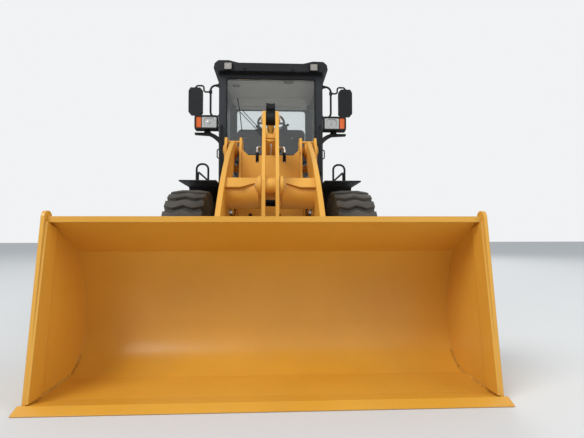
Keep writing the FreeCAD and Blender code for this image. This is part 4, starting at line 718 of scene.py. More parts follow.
def makeWheel(end, side, name):
    label = "_%s_%s" % (end, name)
    body = "wheel" + label
    centre = (wheelSizes[end], wheelSizes["high"])
    middle, disc, face = [(side * wheelSizes[key],) + centre for key in ("track", "disc", "cover")]
    out = (float(side), 0.0, 0.0)
    rounds.grown("tread" + label, lugMesh(), {"Count": lugSizes["count"], "Middle": middle}, treadRubber, body)
    nuts, screws = wheelSizes["nuts"], wheelSizes["screws"]
    bolted("wheelNuts" + label, [(circle(disc, "X", nuts[0], nuts[1]), out, nuts[2]),
                                 (circle(face, "X", screws[0], screws[1], 0.5), out, screws[2])], boltSteel, body, 0.9)
    across, behind, above = wheelSizes["valve"]
    foot = (side * across, centre[0] + behind, centre[1] + above)
    formed({
        "hubCover" + label: {"look": orangePaint, "middle": [
            ("turned", face, out, wheelSizes["cap"], 32), ("hoop", disc, out, wheelSizes["lip"], 40)]},
        "valve" + label: {"look": blackPlastic, "middle": [
            ("turned", foot, (side, 0.25, 0.1), wheelSizes["stem"], 12)]},
    }, body)


for end in ("front", "rear"):
    makeWheel(end, 1, "left")
    makeWheel(end, -1, "right")
print("wheel details made")


barrels = {
    "lift": {"base": (0.4275, -0.35, 0.95), "eye": (0.4275, -1.45, 1.13), "radius": 0.055, "proud": 0.003,
             "start": 0.092, "end": 0.950, "look": orangePaint, "port": upward, "sides": {"_left": 1, "_right": -1}},
    "tilt": {"base": (0, -0.75, 1.86), "eye": (0, -1.72, 1.965), "radius": 0.074, "proud": 0.007,
             "start": 0.094, "end": 0.562, "look": orangePaint, "port": downward, "sides": {"": 1}},
    "steer": {"base": (0.28, 0.72, 0.85), "eye": (0.44, -0.11, 0.85), "radius": 0.042, "proud": 0.006,
              "start": 0.076, "end": 0.510, "look": blackPaint, "port": downward, "sides": {"_left": 1, "_right": -1}},
}


def makeBarrel(name, row, side):
    # gland, weld ring, ports and a pipe along the barrel
    base, eye = [Vector((side * row[key][0],) + row[key][1:]) for key in ("base", "eye")]
    ahead = (eye - base).normalized()
    up = Vector(row["port"])
    up = (up - ahead * up.dot(ahead)).normalized()
    radius, start, end = row["radius"], row["start"], row["end"]
    outer = radius + row["proud"]
    gland = [(end - 0.046, radius), (end - 0.044, outer), (end - 0.020, outer), (end - 0.019, outer - 0.002),
             (end - 0.014, outer - 0.002), (end - 0.013, outer), (end - 0.001, outer - 0.001),
             (end, radius + 0.001), (end, radius)]
    weld = [(start + 0.002, radius), (start + 0.002, outer - 0.002), (start + 0.010, outer - 0.001),
            (start + 0.016, radius)]
    boss = [(0.0, 0.017), (0.012, 0.016), (0.014, 0.014), (0.014, 0.0)]
    nut = [(0.0, 0.012), (0.012, 0.012), (0.013, 0.010), (0.013, 0.0)]
    clamp = [(0.0, 0.010), (0.030, 0.009), (0.037, 0.007), (0.038, 0.0)]
    ports = [base + ahead * along for along in (start + 0.045, end - 0.075)]
    low, high = [spot + up * (radius + 0.008) for spot in ports]
    route = [high + up * 0.008, high + up * 0.020, low + up * 0.020 + ahead * 0.05]
    short = name.replace("_", "")
    formed({
        "gland_" + short: {"look": row["look"], "middle": [
            ("hoop", base, ahead, gland, 36), ("hoop", base, ahead, weld, 36)]
            + [("turned", spot + up * (radius - 0.004), up, boss, 20) for spot in ports]},
        "pipe_" + short: {"look": fittingSteel, "middle": [("turned", spot, up, nut, 6) for spot in (low, high)]
                          + [("tube", route, 0.006, 0.014, 10)]
                          + [("turned", low.lerp(high, share) - up * 0.010, up, clamp, 6) for share in (0.35, 0.75)]},
    }, name + "_barrel_body")


for name, row in barrels.items():
    for ending, side in row["sides"].items():
        makeBarrel(name + ending, row, side)
print("cylinder details made")


def axleRings(centreY):
    # the flange round the axle's bowl, and one at each end
    return ([("hoop", (0, centreY, 0.675), leftward, hoopProfile(-0.012, 0.012, 0.266, 0.286), 64)],
            [("hoop", (0.585, centreY, 0.675), leftward, hoopProfile(0.0, 0.014, 0.132, 0.160), 40)])


def axleRibs():
    # four ribs round the front axle's tube; a corner is (way out, half the width)
    rows = []
    for turn in range(4):
        angle = math.radians(45 + 90 * turn)
        way = (math.cos(angle), math.sin(angle))
        outline = [(-1.15 + way[0] * far - way[1] * half, 0.675 + way[1] * far + way[0] * half)
                   for far, half in ((0.09, 0.008), (0.128, 0.006), (0.128, -0.006), (0.09, -0.008))]
        rows.append(("plate", "X", 0.335, 0.56, outline, 0.002))
    return rows


frontForms = {
    "frontWelds": {"look": orangePaint, "sides": [
        ("bead", [(0.323, -1.001, 1.30), (0.323, -1.001, 1.80)]),
        ("bead", [(0.323, -0.970, 1.683), (0.323, -0.705, 1.683)]),
        ("bead", [(0.323, -1.420, 0.83), (0.323, -1.420, 1.15)]),
        ("bead", [(0.044, -0.840, 1.683), (0.044, -0.705, 1.683)], 0.005),
        ("bead", [(0.072, -0.840, 1.683), (0.072, -0.705, 1.683)], 0.005),
        ("turned", (0.534, -0.85, 1.84), leftward, [(-0.001, 0.040), (0.006, 0.038), (0.009, 0.030), (0.009, 0.0)], 32),
        ("turned", (0.516, -0.35, 0.95), leftward, [(-0.002, 0.052), (0.010, 0.052), (0.014, 0.047), (0.014, 0.0)], 32),
    ]},
    "frontAxleFlange": {"look": castBlack, "middle": axleRings(-1.15)[0], "sides": axleRings(-1.15)[1] + axleRibs()},
    "frontHoses": {"look": rubberSeal, "sides": [
        ("tube", [(0.150, -0.945, 1.680), (0.150, -0.945, 1.812)], 0.0155, 0.02, 14)]},
    "frontElbows": {"look": fittingSteel, "sides": [
        ("turned", (0.150, -0.945, 1.676), upward, [(0.0, 0.022), (0.020, 0.022), (0.021, 0.020), (0.021, 0.0)], 6),
        ("turned", (0.150, -0.945, 1.800), upward, [(0.0, 0.019), (0.030, 0.018), (0.032, 0.015), (0.032, 0.0)], 18),
        ("tube", [(0.150, -0.945, 1.825), (0.150, -0.945, 1.860), (0.086, -0.880, 1.866)], 0.013, 0.028, 14),
        ("turned", (0.100, -0.894, 1.8655), (-1, 0.9, 0.05),
         [(0.0, 0.019), (0.020, 0.019), (0.021, 0.017), (0.021, 0.0)], 6),
    ]},
    "frontPlugs": {"look": blackPlastic, "middle": [
        ("turned", (at, -1.419, 1.072), forward,
         [(0.0, 0.018), (0.005, 0.018), (0.007, 0.015), (0.003, 0.012), (0.003, 0.0)], 24) for at in (-0.204, 0.083)]},
    "lampTrim": {"look": blackPlastic, "sides": [
        ("ring", "Y", -0.868, -0.852, roundedBox((0.601, 2.083), (0.869, 2.242), 0.026),
         roundedBox((0.618, 2.100), (0.852, 2.225), 0.014), 0.002),
        ("plate", "Y", -0.742, -0.722, roundedBox((0.633, 2.115), (0.837, 2.215), 0.03), 0.006),
        ("turned", (0.735, -0.762, 2.062), upward, [(0.0, 0.040), (0.010, 0.040), (0.023, 0.026), (0.026, 0.0)], 28),
        ("plate", "Y", -0.8585, -0.841, [(0.787, 2.100), (0.795, 2.100), (0.795, 2.225), (0.787, 2.225)], 0.001),
    ] + [("plate", "Y", -0.846, -0.752, [(0.866, level), (0.873, level + 0.002), (0.873, level + 0.012),
                                         (0.866, level + 0.014)], 0.001) for level in (2.110, 2.144, 2.178, 2.212)]},
    "lampDishes": {"look": fittingSteel, "sides": [
        ("ring", "Y", -0.8555, -0.8415, roundedBox((0.621, 2.100), (0.787, 2.225), 0.010),
         roundedBox((0.648, 2.112), (0.760, 2.213), 0.030), 0.001),
        ("turned", (0.704, -0.842, 2.1625), forward,
         [(0.0, 0.062), (0.0015, 0.030), (0.004, 0.016), (0.012, 0.014), (0.013, 0.0)], 28),
    ]},
}
formed(frontForms, "front_body")
bolted("frontBolts", [
    (circle((0.534, -0.85, 1.84), "X", 0.050, 4, 0.5), leftward, 0.0075),
    (circle((-0.534, -0.85, 1.84), "X", 0.050, 4, 0.5), rightward, 0.0075),
    (circle((0.530, -0.35, 0.95), "X", 0.032, 3), leftward, 0.007),
    (circle((-0.530, -0.35, 0.95), "X", 0.032, 3), rightward, 0.007),
    ([(x, y, 0.8005) for x in (-0.42, 0.42) for y in (-1.22, -1.08)], downward, 0.016),
    (circle((0, -1.4205, 0.93), "Y", 0.085, 6), forward, 0.010),
    (circle((0.013, -1.15, 0.675), "X", 0.276, 14), leftward, 0.009),
    (circle((0, -0.752, 0.715), "Y", 0.070, 8), backward, 0.007),
], boltSteel, "front_body")
print("front frame details made")


pivots = {"bucketPin": (-2.60, 0.30), "boomPin": (-0.85, 1.84), "rockerPin": (-1.99, 1.30),
          "rodEye": (-1.72, 1.965), "linkEye": (-2.02, 0.66)}


def pinned(across, pin):
    return (across,) + pivots[pin]


boomForms = {
    "boomWelds": {"look": orangePaint, "sides": [
        ("bead", circle((at, -1.72, 1.26), "X", 0.1465, 12), 0.006, True) for at in (0.4035, 0.1105)
    ] + [
        ("turned", pinned(at, pin), leftward, [(-0.001, radius), (0.005, radius), (0.008, radius - 0.004),
                                              (0.008, 0.0)], 36)
        for at, pin, radius in ((0.468, "bucketPin", 0.060), (0.472, "boomPin", 0.062))
    ] + [
        ("hoop", pinned(0.109, "rockerPin"), leftward,
         [(0.0, 0.0325), (0.0, 0.062), (0.010, 0.060), (0.012, 0.054), (0.012, 0.0325)], 36),
        ("turned", pinned(0.129, "rockerPin"), leftward, [(-0.001, 0.026), (0.004, 0.024), (0.005, 0.0)], 28),
    ]},
    "greaseNipples": {"look": fittingSteel, "sides": [
        ("turned", pinned(at, pin), leftward, [(-0.001, 0.006), (0.006, 0.0055), (0.008, 0.003), (0.012, 0.004),
                                              (0.014, 0.0)], 10)
        for at, pin in ((0.134, "rockerPin"), (0.484, "bucketPin"))]},
    "rockerPins": {"look": fittingSteel, "body": "rocker_body", "sides": [
        ("turned", pinned(0.0755, pin), leftward, [(0.0, 0.044), (0.006, 0.044), (0.009, 0.040), (0.009, 0.014),
                                                  (0.013, 0.012), (0.013, 0.0)], 32) for pin in ("rodEye", "linkEye")]},
    # the dark block on the rod's eye, and the sleeve round the eye
    "rodEyeBlock": {"look": blackPlastic, "body": "tilt_rod_body", "middle": [
        ("plate", "Y", -1.775, -1.665, [(-0.0425, 2.041), (0.0425, 2.041), (0.0425, 2.094), (0.035, 2.102),
                                        (0.026, 2.094), (-0.026, 2.094), (-0.035, 2.102), (-0.0425, 2.094)], 0.004),
        ("plate", "Y", -1.755, -1.685, [(-0.030, 2.008), (0.030, 2.008), (0.030, 2.046), (-0.030, 2.046)], 0.003),
        ("hoop", pinned(-0.0434, "rodEye"), leftward, hoopProfile(0.0, 0.0868, 0.0602, 0.0625), 48),
    ]},
    "bucketWelds": {"look": bucketPaint, "body": "bucket_body", "sides": [
        ("bead", [(1.1945, -3.36, 0.021), (1.1945, -3.05, 0.021), (1.1945, -2.95, 0.052), (1.1945, -2.88, 0.115)])]},
}
formed(boomForms, "boom_body")
boomScrews = []
for side in (1, -1):
    for at, pin, reach, count, turn, size in ((0.476, "bucketPin", 0.040, 4, 0.5, 0.008),
                                              (0.480, "boomPin", 0.040, 4, 0.5, 0.005),
                                              (0.121, "rockerPin", 0.048, 4, 0.5, 0.006)):
        boomScrews.append((circle(pinned(side * at, pin), "X", reach, count, turn), (float(side), 0.0, 0.0), size))
bolted("boomBolts", boomScrews, boltSteel, "boom_body")
bolted("rockerBolts", [(circle(pinned(side * 0.0845, pin), "X", 0.028, 3), (float(side), 0.0, 0.0), 0.005)
                       for side in (1, -1) for pin in ("rodEye", "linkEye")], boltSteel, "rocker_body")
print("boom, linkage and bucket details made")


wiperRoutes = {"pivots": ((0.086, -0.036, 1.992), (0.118, -0.036, 2.012)),
               "tips": ((-0.418, -0.042, 2.532), (-0.392, -0.042, 2.556)), "front": -0.052, "reach": 0.02}


def wiperArms():
    rows = []
    front, reach = wiperRoutes["front"], wiperRoutes["reach"]
    for pivot, tip in zip(wiperRoutes["pivots"], wiperRoutes["tips"]):
        rows.append(("tube", [pivot, (pivot[0] - reach, front, pivot[2] + reach), (tip[0] + reach, front, tip[2] - reach),
                              tip], 0.0045, 0.02, 8))
        rows.append(("turned", (pivot[0], -0.0265, pivot[2]), forward,
                     [(0.0, 0.016), (0.012, 0.014), (0.016, 0.010), (0.017, 0.0)], 20))
    return rows


cabForms = {
    "cabSeals": {"look": rubberSeal, "middle": [
        ("ring", "Y", -0.0275, -0.0145, roundedBox((-0.604, 1.946), (0.604, 2.994), 0.02),
         roundedBox((-0.588, 1.960), (0.588, 2.984), 0.03), 0.002),
        ("ring", "Y", 1.3345, 1.3465, roundedBox((-0.602, 2.008), (0.602, 2.992), 0.02),
         roundedBox((-0.568, 2.042), (0.568, 2.958), 0.05), 0.002),
        ("ring", "Z", 3.040, 3.062, roundedBox((-0.712, -0.032), (0.712, 1.352), 0.02),
         roundedBox((-0.702, -0.022), (0.702, 1.342), 0.012), 0.002),
    ], "sides": [
        ("ring", "Y", -0.0265, -0.0145, roundedBox((0.388, 1.608), (0.622, 1.872), 0.015),
         roundedBox((0.418, 1.638), (0.592, 1.842), 0.03), 0.002),
        ("ring", "X", 0.6935, 0.7055, roundedBox((0.918, 2.008), (1.302, 2.992), 0.02),
         roundedBox((0.950, 2.040), (1.270, 2.960), 0.05), 0.002),
    ]},
    # grab bars beside the windscreen, lamp and mirror sockets, and the roof's air intake
    "cabTrim": {"look": blackPlastic, "middle": [
        ("turned", (at, -0.1195, 3.092), forward, [(0.0, 0.024), (0.006, 0.023), (0.012, 0.017), (0.016, 0.0)], 24)
        for at in (-0.349, 0.288)
    ] + [
        ("plate", "Z", 3.164, 3.182, roundedBox((-0.36, 0.30), (0.36, 1.02), 0.06), 0.006),
        ("plate", "Z", 3.180, 3.192, roundedBox((-0.20, 0.40), (0.20, 0.70), 0.05), 0.004),
    ], "sides": [
        ("tube", [(0.668, -0.018, 1.70), (0.668, -0.062, 1.72), (0.668, -0.062, 2.32), (0.668, -0.018, 2.34)], 0.012,
         0.03),
        ("turned", (0.815, 0.006, 2.79), upward, [(0.0, 0.019), (0.002, 0.022), (0.040, 0.022), (0.042, 0.019)], 24),
        ("turned", (1.010, 0.006, 2.852), upward, [(0.0, 0.026), (0.012, 0.024), (0.024, 0.016), (0.026, 0.011)], 24),
        ("plate", "X", 0.7000, 0.7085, [(0.90, 1.47), (1.32, 1.47), (1.32, 1.96), (0.90, 1.96)], 0.004),
    ] + [
        ("turned", (0.668, -0.0205, level), forward, [(0.0, 0.024), (0.005, 0.023), (0.008, 0.014)], 20)
        for level in (1.70, 2.34)
    ] + [
        ("turned", (0.700, 0.006, level), leftward, [(-0.001, 0.034), (0.008, 0.033), (0.016, 0.020), (0.040, 0.019),
                                                    (0.041, 0.0141)], 24) for level in (2.47, 2.90)
    ] + [
        ("ring", "Y", front, back, roundedBox((0.516, 3.060), (0.624, 3.162), 0.012),
         roundedBox((0.5222, 3.0662), (0.6178, 3.1558), 0.008), 0.0015)
        for front, back in ((-0.158, -0.1215), (1.4215, 1.458))
    ]},
    "wiper": {"look": blackPlastic, "middle": wiperArms() + [
        ("tube", [(-0.449, -0.036, 2.700), (-0.418, -0.040, 2.532), (-0.392, -0.036, 2.300)], 0.005, 0.05, 8),
        ("tube", [(-0.449, -0.029, 2.720), (-0.418, -0.029, 2.532), (-0.391, -0.029, 2.280)], 0.0055, 0.05, 8),
    ]},
    "headliner": {"look": paleLining, "middle": [
        ("plate", "Z", 3.040, 3.0585, roundedBox((-0.645, 0.034), (0.645, 1.286), 0.03), 0.005),
        ("plate", "Z", 3.010, 3.045, roundedBox((-0.60, 0.90), (0.60, 1.26), 0.05), 0.010),
        ("plate", "Y", 1.284, 1.299, roundedBox((-0.585, 2.972), (0.585, 3.036), 0.01), 0.003),
    ]},
    "cabInner": {"look": greyPlastic, "middle": [
        ("turned", (at, y, 3.041), downward, [(0.0, radius), (0.008, radius - 0.004), (0.010, radius - 0.016),
                                              (0.004, radius - 0.022), (0.004, 0.0)], 32)
        for at, y, radius in ((0.25, 0.20, 0.075), (-0.50, 0.385, 0.060))
    ], "sides": [("plate", "Y", 0.62, 1.20, [(0.33, 1.46), (0.62, 1.46), (0.60, 1.95), (0.36, 1.98)], 0.02, 3)]},
    # the instrument hood, levers with their knobs, the wheel's boss and three pads on the floor
    "dashDetails": {"look": blackPlastic, "middle": [
        ("plate", "X", -0.20, 0.20, [(0.10, 2.300), (0.185, 2.300), (0.205, 2.345), (0.190, 2.375), (0.13, 2.352)],
         0.008),
        ("tube", [(0.03, 0.36, 2.40), (0.12, 0.33, 2.42), (0.238, 0.30, 2.450)], 0.006, 0.04, 10),
        ("tube", [(-0.03, 0.36, 2.40), (-0.12, 0.34, 2.41), (-0.20, 0.33, 2.43)], 0.006, 0.04, 10),
        ("turned", (0, 0.337, 2.492), (0, 0.5, 0.866), [(-0.002, 0.056), (0.010, 0.052), (0.016, 0.040),
                                                        (0.018, 0.0)], 32),
    ] + [
        ("turned", place, upward, [(0.0, 0.0), (0.003, 0.010), (0.012, 0.019), (0.024, 0.019), (0.034, 0.011),
                                   (0.037, 0.0)], 18)
        for place in ((0.238, 0.300, 2.432), (-0.200, 0.330, 2.412), (0.40, 0.66, 2.197), (0.50, 0.66, 2.197))
    ] + [
        ("tube", [(at, 0.68, 1.95), (at, 0.66, 2.21)], 0.007, 0.02, 10) for at in (0.40, 0.50)
    ] + [
        ("turned", (at, 0.683, 1.945), (0, -0.05, 1), [(0.0, 0.034), (0.02, 0.026), (0.045, 0.012), (0.047, 0.007)], 20)
        for at in (0.40, 0.50)
    ] + [
        ("plate", "Z", 1.4505, 1.4585, roundedBox((at, 0.215), (at + 0.09, 0.30), 0.012), 0.003)
        for at in (-0.20, -0.06, 0.08)
    ]},
    "dashButtons": {"look": clearLens, "middle": [
        ("turned", (at, 0.0305, 2.195), forward, [(-0.001, 0.012), (0.003, 0.010), (0.005, 0.0)], 18)
        for at in (-0.358, 0.287)]},
    "mirrorGlass": {"look": mirrorSilver, "middle": [
        ("plate", "Y", 0.0302, 0.0335, roundedBox((left, 2.515), (right, 2.830), 0.03), 0.001)
        for left, right in ((0.935, 1.085), (-1.085, -0.935))]},
    "railFeet": {"look": blackPaint, "sides": [
        ("hoop", (at, y, 1.460), upward, [(0.0, 0.019), (0.0, brim), (0.008, brim), (0.010, 0.021), (0.020, 0.019),
                                          (0.020, 0.0163), (0.0, 0.0163)], 28)
        for at, y, brim in ((0.980, 0.935, 0.036), (1.160, 0.935, 0.0195), (1.160, 1.060, 0.0195),
                            (1.160, 2.050, 0.0195))]},
}
formed(cabForms, "rear_body")
print("cab details made")


deckSizes = {"x": 0.748, "y": 0.505, "z": 1.4595, "across": 0.036, "along": 0.0365, "columns": 12, "rows": 52,
             "clear": 0.055, "posts": ((0.98, 0.935), (1.16, 0.935), (1.16, 1.06), (1.16, 2.05)),
             "stud": {"Long": 0.0145, "High": 0.0025}}


def makeDecks():
    # the decks' bolts, and studs that leave the rails' feet free
    screws, spots = [], []
    for side in (1, -1):
        screws.append((circle((side * 0.980, 0.935, 1.468), "Z", 0.028, 3), upward, 0.005))
        screws.append(([(side * x, y, 1.460) for x in (0.745, 1.155) for y in (0.60, 1.30, 1.75, 2.25)], upward,
                       0.009))
        screws.append(([(side * 1.1405, y, z) for y in (0.53, 0.94) for z in (0.66, 1.02, 1.38)],
                       (float(side), 0.0, 0.0), 0.008))
        for row in range(deckSizes["rows"]):
            for column in range(deckSizes["columns"]):
                x, y = deckSizes["x"] + column * deckSizes["across"], deckSizes["y"] + row * deckSizes["along"]
                turn = math.radians(45 if (row + column) % 2 else -45)
                if min(abs(x - at) + abs(y - along) for at, along in deckSizes["posts"]) > deckSizes["clear"]:
                    spots.append(((side * x, y, deckSizes["z"]), {"turn": turn}))
    bolted("deckBolts", screws, boltSteel, "rear_body")
    studs.grown("deckStuds", placed(spots), deckSizes["stud"], blackPaint, "rear_body")


makeDecks()


doorForms = {
    "doorSeals_": {"look": rubberSeal, "rows": [
        ("ring", "X", 0.6915, 0.7015, roundedBox((0.121, foot - 0.010), (0.803, top + 0.010), 0.02),
         roundedBox((0.149, foot + 0.018), (0.775, top - 0.018), 0.05), 0.002)
        for foot, top in ((1.567, 1.948), (2.010, 2.923))]},
    "doorHandle_": {"look": blackPlastic, "rows": [
        ("plate", "X", 0.698, 0.706, roundedBox((0.075, 1.900), (0.125, 2.080), 0.012), 0.003),
        ("tube", [(0.702, 0.100, 1.925), (0.735, 0.100, 1.935), (0.735, 0.100, 2.045), (0.702, 0.100, 2.055)], 0.008,
         0.02),
        ("turned", (0.705, 0.100, 1.910), leftward, [(0.0, 0.009), (0.004, 0.008), (0.004, 0.0)], 18),
        ("tube", [(0.657, 0.500, 1.965), (0.620, 0.500, 1.965), (0.620, 0.760, 2.000), (0.657, 0.760, 2.000)], 0.011,
         0.04),
    ]},
}
for name, piece in doorForms.items():
    otherRows = [(row[0], *mirrored(row[0], row[1:])) for row in piece["rows"]]
    formed({name + "left": {"look": piece["look"], "middle": piece["rows"]}}, "door_left_body")
    formed({name + "right": {"look": piece["look"], "middle": otherRows}}, "door_right_body")
print("deck and door details made")


def louvreRows():
    # a plate behind each opening of the hood's side, and seven slanting blades
    frames, blades = [], []
    for start in (1.62, 2.12):
        frames.append(("ring", "X", 0.559, 0.566, roundedBox((start, 1.620), (start + 0.42, 1.990), 0.02),
                       roundedBox((start + 0.02, 1.640), (start + 0.40, 1.970), 0.01), 0.002))
        blades.append(("plate", "X", 0.5595, 0.5615, [(start + 0.018, 1.638), (start + 0.402, 1.638),
                                                      (start + 0.402, 1.972), (start + 0.018, 1.972)], 0.0))
        for step in range(7):
            level = 1.650 + step * 0.046
            blades.append(("plate", "Y", start + 0.021, start + 0.399, [
                (0.560, level + 0.028), (0.560, level + 0.034), (0.572, level + 0.008), (0.570, level)], 0.001))
    return frames, blades


hoodFrames, hoodBlades = louvreRows()
hoodForms = {
    # frames of the openings, ribs along the top and the filler cap
    "hoodTrim": {"look": charcoalPaint, "middle": [
        ("turned", (-0.25, 1.72, 2.288), upward, [(0.0, 0.070), (0.012, 0.068), (0.014, 0.052), (0.034, 0.048),
                                                  (0.040, 0.038), (0.040, 0.0)], 36),
    ], "sides": hoodFrames + [
        ("plate", "X", 0.342, 0.378, [(1.45, 2.293), (1.45, 2.3085), (2.096, 2.2865), (2.93, 2.0975), (2.93, 2.082),
                                      (2.09, 2.272)], 0.004),
    ]},
    # blades, the seam of the side panel, its handles and latches
    "hoodLouvres": {"look": blackPlastic, "sides": hoodBlades + [
        ("plate", "X", 0.5595, 0.5625, [(1.405, 1.548), (3.055, 1.548), (3.055, 1.554), (1.405, 1.554)], 0.0),
    ] + [
        ("tube", [(0.561, y, 1.585), (0.590, y, 1.585), (0.590, y + 0.14, 1.585), (0.561, y + 0.14, 1.585)], 0.008,
         0.02) for y in (1.50, 2.78)
    ] + [
        ("turned", (0.5595, y + 0.20, 1.585), leftward, [(0.0, 0.018), (0.004, 0.017), (0.006, 0.010), (0.006, 0.0)], 20)
        for y in (1.50, 2.78)
    ]},
    "exhaustBands": {"look": fittingSteel, "middle": [
        ("hoop", (0.25, 1.90, 2.575), upward, hoopProfile(0.0, 0.018, 0.0422, 0.048), 32),
    ] + [
        ("hoop", (0.25, 1.90, level), upward, hoopProfile(0.0, 0.022, 0.0752, 0.079), 40) for level in (2.33, 2.50)
    ] + [
        ("turned", (0.329, 1.90, level), leftward, [(-0.002, 0.009), (0.014, 0.009), (0.016, 0.0)], 6)
        for level in (2.341, 2.511)
    ]},
    "rainFlap": {"look": blackPaint, "middle": [
        ("turned", (0.25, 1.90, 2.862), (0, 0.25, 1), [(0.0, 0.0), (0.0, 0.050), (0.005, 0.050), (0.008, 0.040),
                                                       (0.009, 0.0)], 32),
        ("turned", (0.225, 1.948, 2.868), leftward, [(0.0, 0.008), (0.050, 0.008)], 12),
    ]},
    "grilleMesh": {"look": blackPlastic, "middle": [
        ("plate", "Y", 3.2305, 3.236, [(-0.4398, level), (0.4398, level), (0.4398, level + 0.0396),
                                       (-0.4398, level + 0.0396)], 0.0)
        for level in (1.4802 + 0.07 * row for row in range(7))]},
    "tailDetails": {"look": blackPlastic, "body": "rear_body", "middle": [
        ("tube", [(-0.045, 3.49, 0.965), (-0.045, 3.49, 1.02), (0.045, 3.49, 1.02), (0.045, 3.49, 0.965)], 0.008,
         0.025),
        ("turned", (0, 3.49, 0.768), upward, [(0.0, 0.0), (0.0, 0.0240), (0.198, 0.0240), (0.202, 0.045),
                                              (0.212, 0.045), (0.214, 0.0)], 28),
    ], "sides": [
        ("ring", "Y", 3.286, 3.340, roundedBox((0.782, 1.402), (0.968, 1.519), 0.012),
         roundedBox((0.7903, 1.4095), (0.9597, 1.5098), 0.006), 0.002),
    ]},
    "rearAxleFlange": {"look": castBlack, "body": "rear_body", "middle": axleRings(1.70)[0],
                       "sides": axleRings(1.70)[1]},
}
grilleSizes = {"Count": 2, "Step": (0.0, 0.0, 0.014), "Length": 0.874, "Wide": 0.022, "Thick": 0.003, "Lean": 0.6}
formed(hoodForms, "hood_body")
slats.grown("grilleSlats", placed([((0.0, 3.262, 1.494 + 0.07 * row), {}) for row in range(7)]),
            grilleSizes, blackPlastic, "hood_body")
bolted("underBolts", [
    (circle((0.013, 1.70, 0.675), "X", 0.276, 14), leftward, 0.009),
    ([(side * 0.3865, y, z) for side in (1, -1) for y in (1.60, 1.80) for z in (0.93, 1.10)], leftward, 0.012),
], boltSteel, "rear_body")
print("hood, tail and axle details made")


puffSizes = {"voxel": 0.006, "pressure": 4.0, "mass": 0.3, "frames": 20, "most": 0.024}
cushions = {
    "seatPad": {"low": (-0.236, 0.622, 1.842), "high": (0.236, 1.046, 1.918), "axis": "Z", "round": 0.05},
    "seatBack": {"low": (-0.226, 1.074, 1.850), "high": (0.226, 1.152, 2.505), "axis": "Y", "round": 0.06},
}


def makeSeat():
    # two padded cushions, blown up as cloth and then welted
    for name, row in cushions.items():
        low, high = Vector(row["low"]), Vector(row["high"])
        grown = Form(name, seatCloth, "rear_body")
        level = "XYZ".index(row["axis"])
        other = 3 - level
        outline = roundedBox((low.x, low[other]), (high.x, high[other]), row["round"], 8)
        grown.plate(row["axis"], low[level], high[level], outline, 0.022, 4)
        pad = bpy.data.objects.new(name, grown.meshed())
        bpy.context.scene.collection.objects.link(pad)
        puffed(pad)
        done = ridden(name, pad.data.copy(), seatCloth, "rear_body")
        bpy.data.objects.remove(pad)
        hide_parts("seat_cushion")
    welt = Form("seatWelts", rubberSeal, "rear_body")
    for at in (-0.13, 0.13):
        welt.tube([(at, 0.66, 1.937), (at, 1.02, 1.937)], 0.004, 0.01, 8)
        welt.tube([(at, 1.062, 1.93), (at, 1.062, 2.44)], 0.004, 0.01, 8)
    welt.done()


def puffed(pad):
    # voxel remesh, then cloth under pressure with no gravity; no point moves further than "most"
    scene = bpy.context.scene
    bpy.context.view_layer.objects.active = pad
    remesh = pad.modifiers.new("remesh", "REMESH")
    remesh.mode = "VOXEL"
    remesh.voxel_size = puffSizes["voxel"]
    made = bpy.data.meshes.new_from_object(pad.evaluated_get(bpy.context.evaluated_depsgraph_get()))
    pad.modifiers.clear()
    pad.data = made
    start = [vertex.co.copy() for vertex in made.vertices]
    cloth = pad.modifiers.new("cloth", "CLOTH")
    cloth.settings.use_pressure = True
    cloth.settings.uniform_pressure_force = puffSizes["pressure"]
    cloth.settings.effector_weights.gravity = 0.0
    cloth.settings.mass = puffSizes["mass"]
    for number in range(1, puffSizes["frames"] + 1):
        scene.frame_set(number)
    shown = bpy.data.meshes.new_from_object(pad.evaluated_get(bpy.context.evaluated_depsgraph_get()))
    pad.modifiers.clear()
    for vertex, first in zip(shown.vertices, start):
        moved = vertex.co - first
        if moved.length > puffSizes["most"]:
            vertex.co = first + moved.normalized() * puffSizes["most"]
    pad.data = shown
    scene.frame_set(1)


makeSeat()
print("seat made")


stageSizes = {
    "reach": 60.0, "floorColour": (0.66, 0.66, 0.65, 1), "floorStain": (0.58, 0.58, 0.57, 1),
    "skyColour": (0.88, 0.89, 0.90, 1), "skyStrength": 1.0, "lightColour": (0.86, 0.93, 1.0, 1), "lightStrength": 0.62,
}


def makeStage():
    look = Look("studioFloor")
    ray = look.node("ShaderNodeLightPath", {}, {}, "Is Camera Ray")
    grain = look.noise(1.2, 3.0)
    tone = look.mixed(grain * 0.15, stageSizes["floorColour"], stageSizes["floorStain"])
    look.surface(tone, 0.9 - 0.05 * ray)
    floor = bpy.data.meshes.new("studioFloor")
    half = stageSizes["reach"]
    floor.from_pydata([(-half, -half, 0), (half, -half, 0), (half, half, 0), (-half, half, 0)], [], [(0, 1, 2, 3)])
    floor.materials.append(look.material)
    made = bpy.data.objects.new("studioFloor", floor)
    bpy.context.scene.collection.objects.link(made)


class Sky(Tree):
    def __init__(self, name):
        self.world = bpy.data.worlds.new(name)
        self.world.use_nodes = True
        self.tree = self.world.node_tree
        self.tree.nodes.clear()


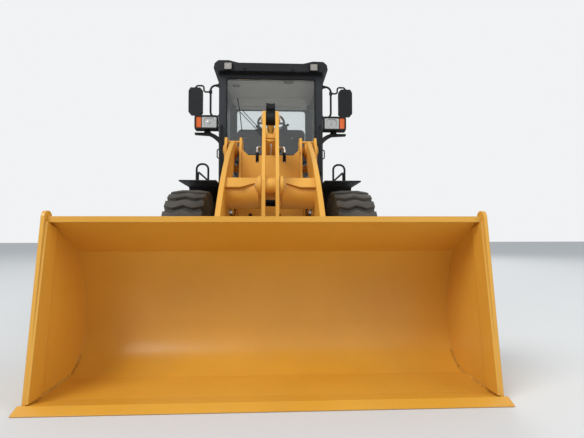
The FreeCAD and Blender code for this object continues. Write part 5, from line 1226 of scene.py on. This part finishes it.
def makeWorld():
    # the camera, glass and mirrors see a paler sky than the one that lights the machine
    sky = Sky("studioSky")
    camera, glass, mirror = [sky.node("ShaderNodeLightPath", {}, {}, "Is %s Ray" % kind)
                             for kind in ("Camera", "Transmission", "Glossy")]
    seen = sky.node("ShaderNodeMath", {"operation": "MAXIMUM"}, {0: camera, 1: glass})
    seen = sky.node("ShaderNodeMath", {"operation": "MAXIMUM"}, {0: seen, 1: mirror})
    light, shown = [sky.node("ShaderNodeBackground", {}, {"Color": stageSizes[kind + "Colour"],
                                                          "Strength": stageSizes[kind + "Strength"]})
                    for kind in ("light", "sky")]
    both = sky.node("ShaderNodeMixShader", {}, {0: seen, 1: light, 2: shown})
    sky.node("ShaderNodeOutputWorld", {}, {"Surface": both})
    bpy.context.scene.world = sky.world


lamps = {
    "keyLamp": {"place": (-7.5, -10.0, 11.0), "aim": (0.0, -0.6, 1.2), "size": 7.0, "power": 1300.0},
    "fillLamp": {"place": (9.0, -7.0, 5.5), "aim": (0.0, -0.6, 1.2), "size": 8.0, "power": 420.0},
    "backLamp": {"place": (3.0, 11.0, 9.0), "aim": (0.0, 1.0, 1.2), "size": 8.0, "power": 700.0},
}


def makeLamps():
    for name, row in lamps.items():
        light = bpy.data.lights.new(name, "AREA")
        light.energy = row["power"]
        light.size = row["size"]
        made = bpy.data.objects.new(name, light)
        made.location = row["place"]
        ahead = Vector(row["aim"]) - Vector(row["place"])
        made.rotation_euler = ahead.to_track_quat("-Z", "Y").to_euler()
        bpy.context.scene.collection.objects.link(made)


cameraSizes = {"place": (0.014, -5.635, 0.855), "lens": 25.89, "up": 2.42, "right": 2.714, "roll": 0.1}


def makeCamera():
    lens = bpy.data.cameras.new("photoCamera")
    lens.lens = cameraSizes["lens"]
    lens.sensor_width = 36
    lens.clip_end = 200
    made = bpy.data.objects.new("photoCamera", lens)
    made.location = cameraSizes["place"]
    made.rotation_euler = (math.radians(90 + cameraSizes["up"]), math.radians(cameraSizes["roll"]),
                           math.radians(-cameraSizes["right"]))
    bpy.context.scene.collection.objects.link(made)
    bpy.context.scene.camera = made


makeStage()
makeWorld()
makeLamps()
makeCamera()
bpy.context.scene.view_settings.view_transform = "Standard"
print("stage, light and camera made")
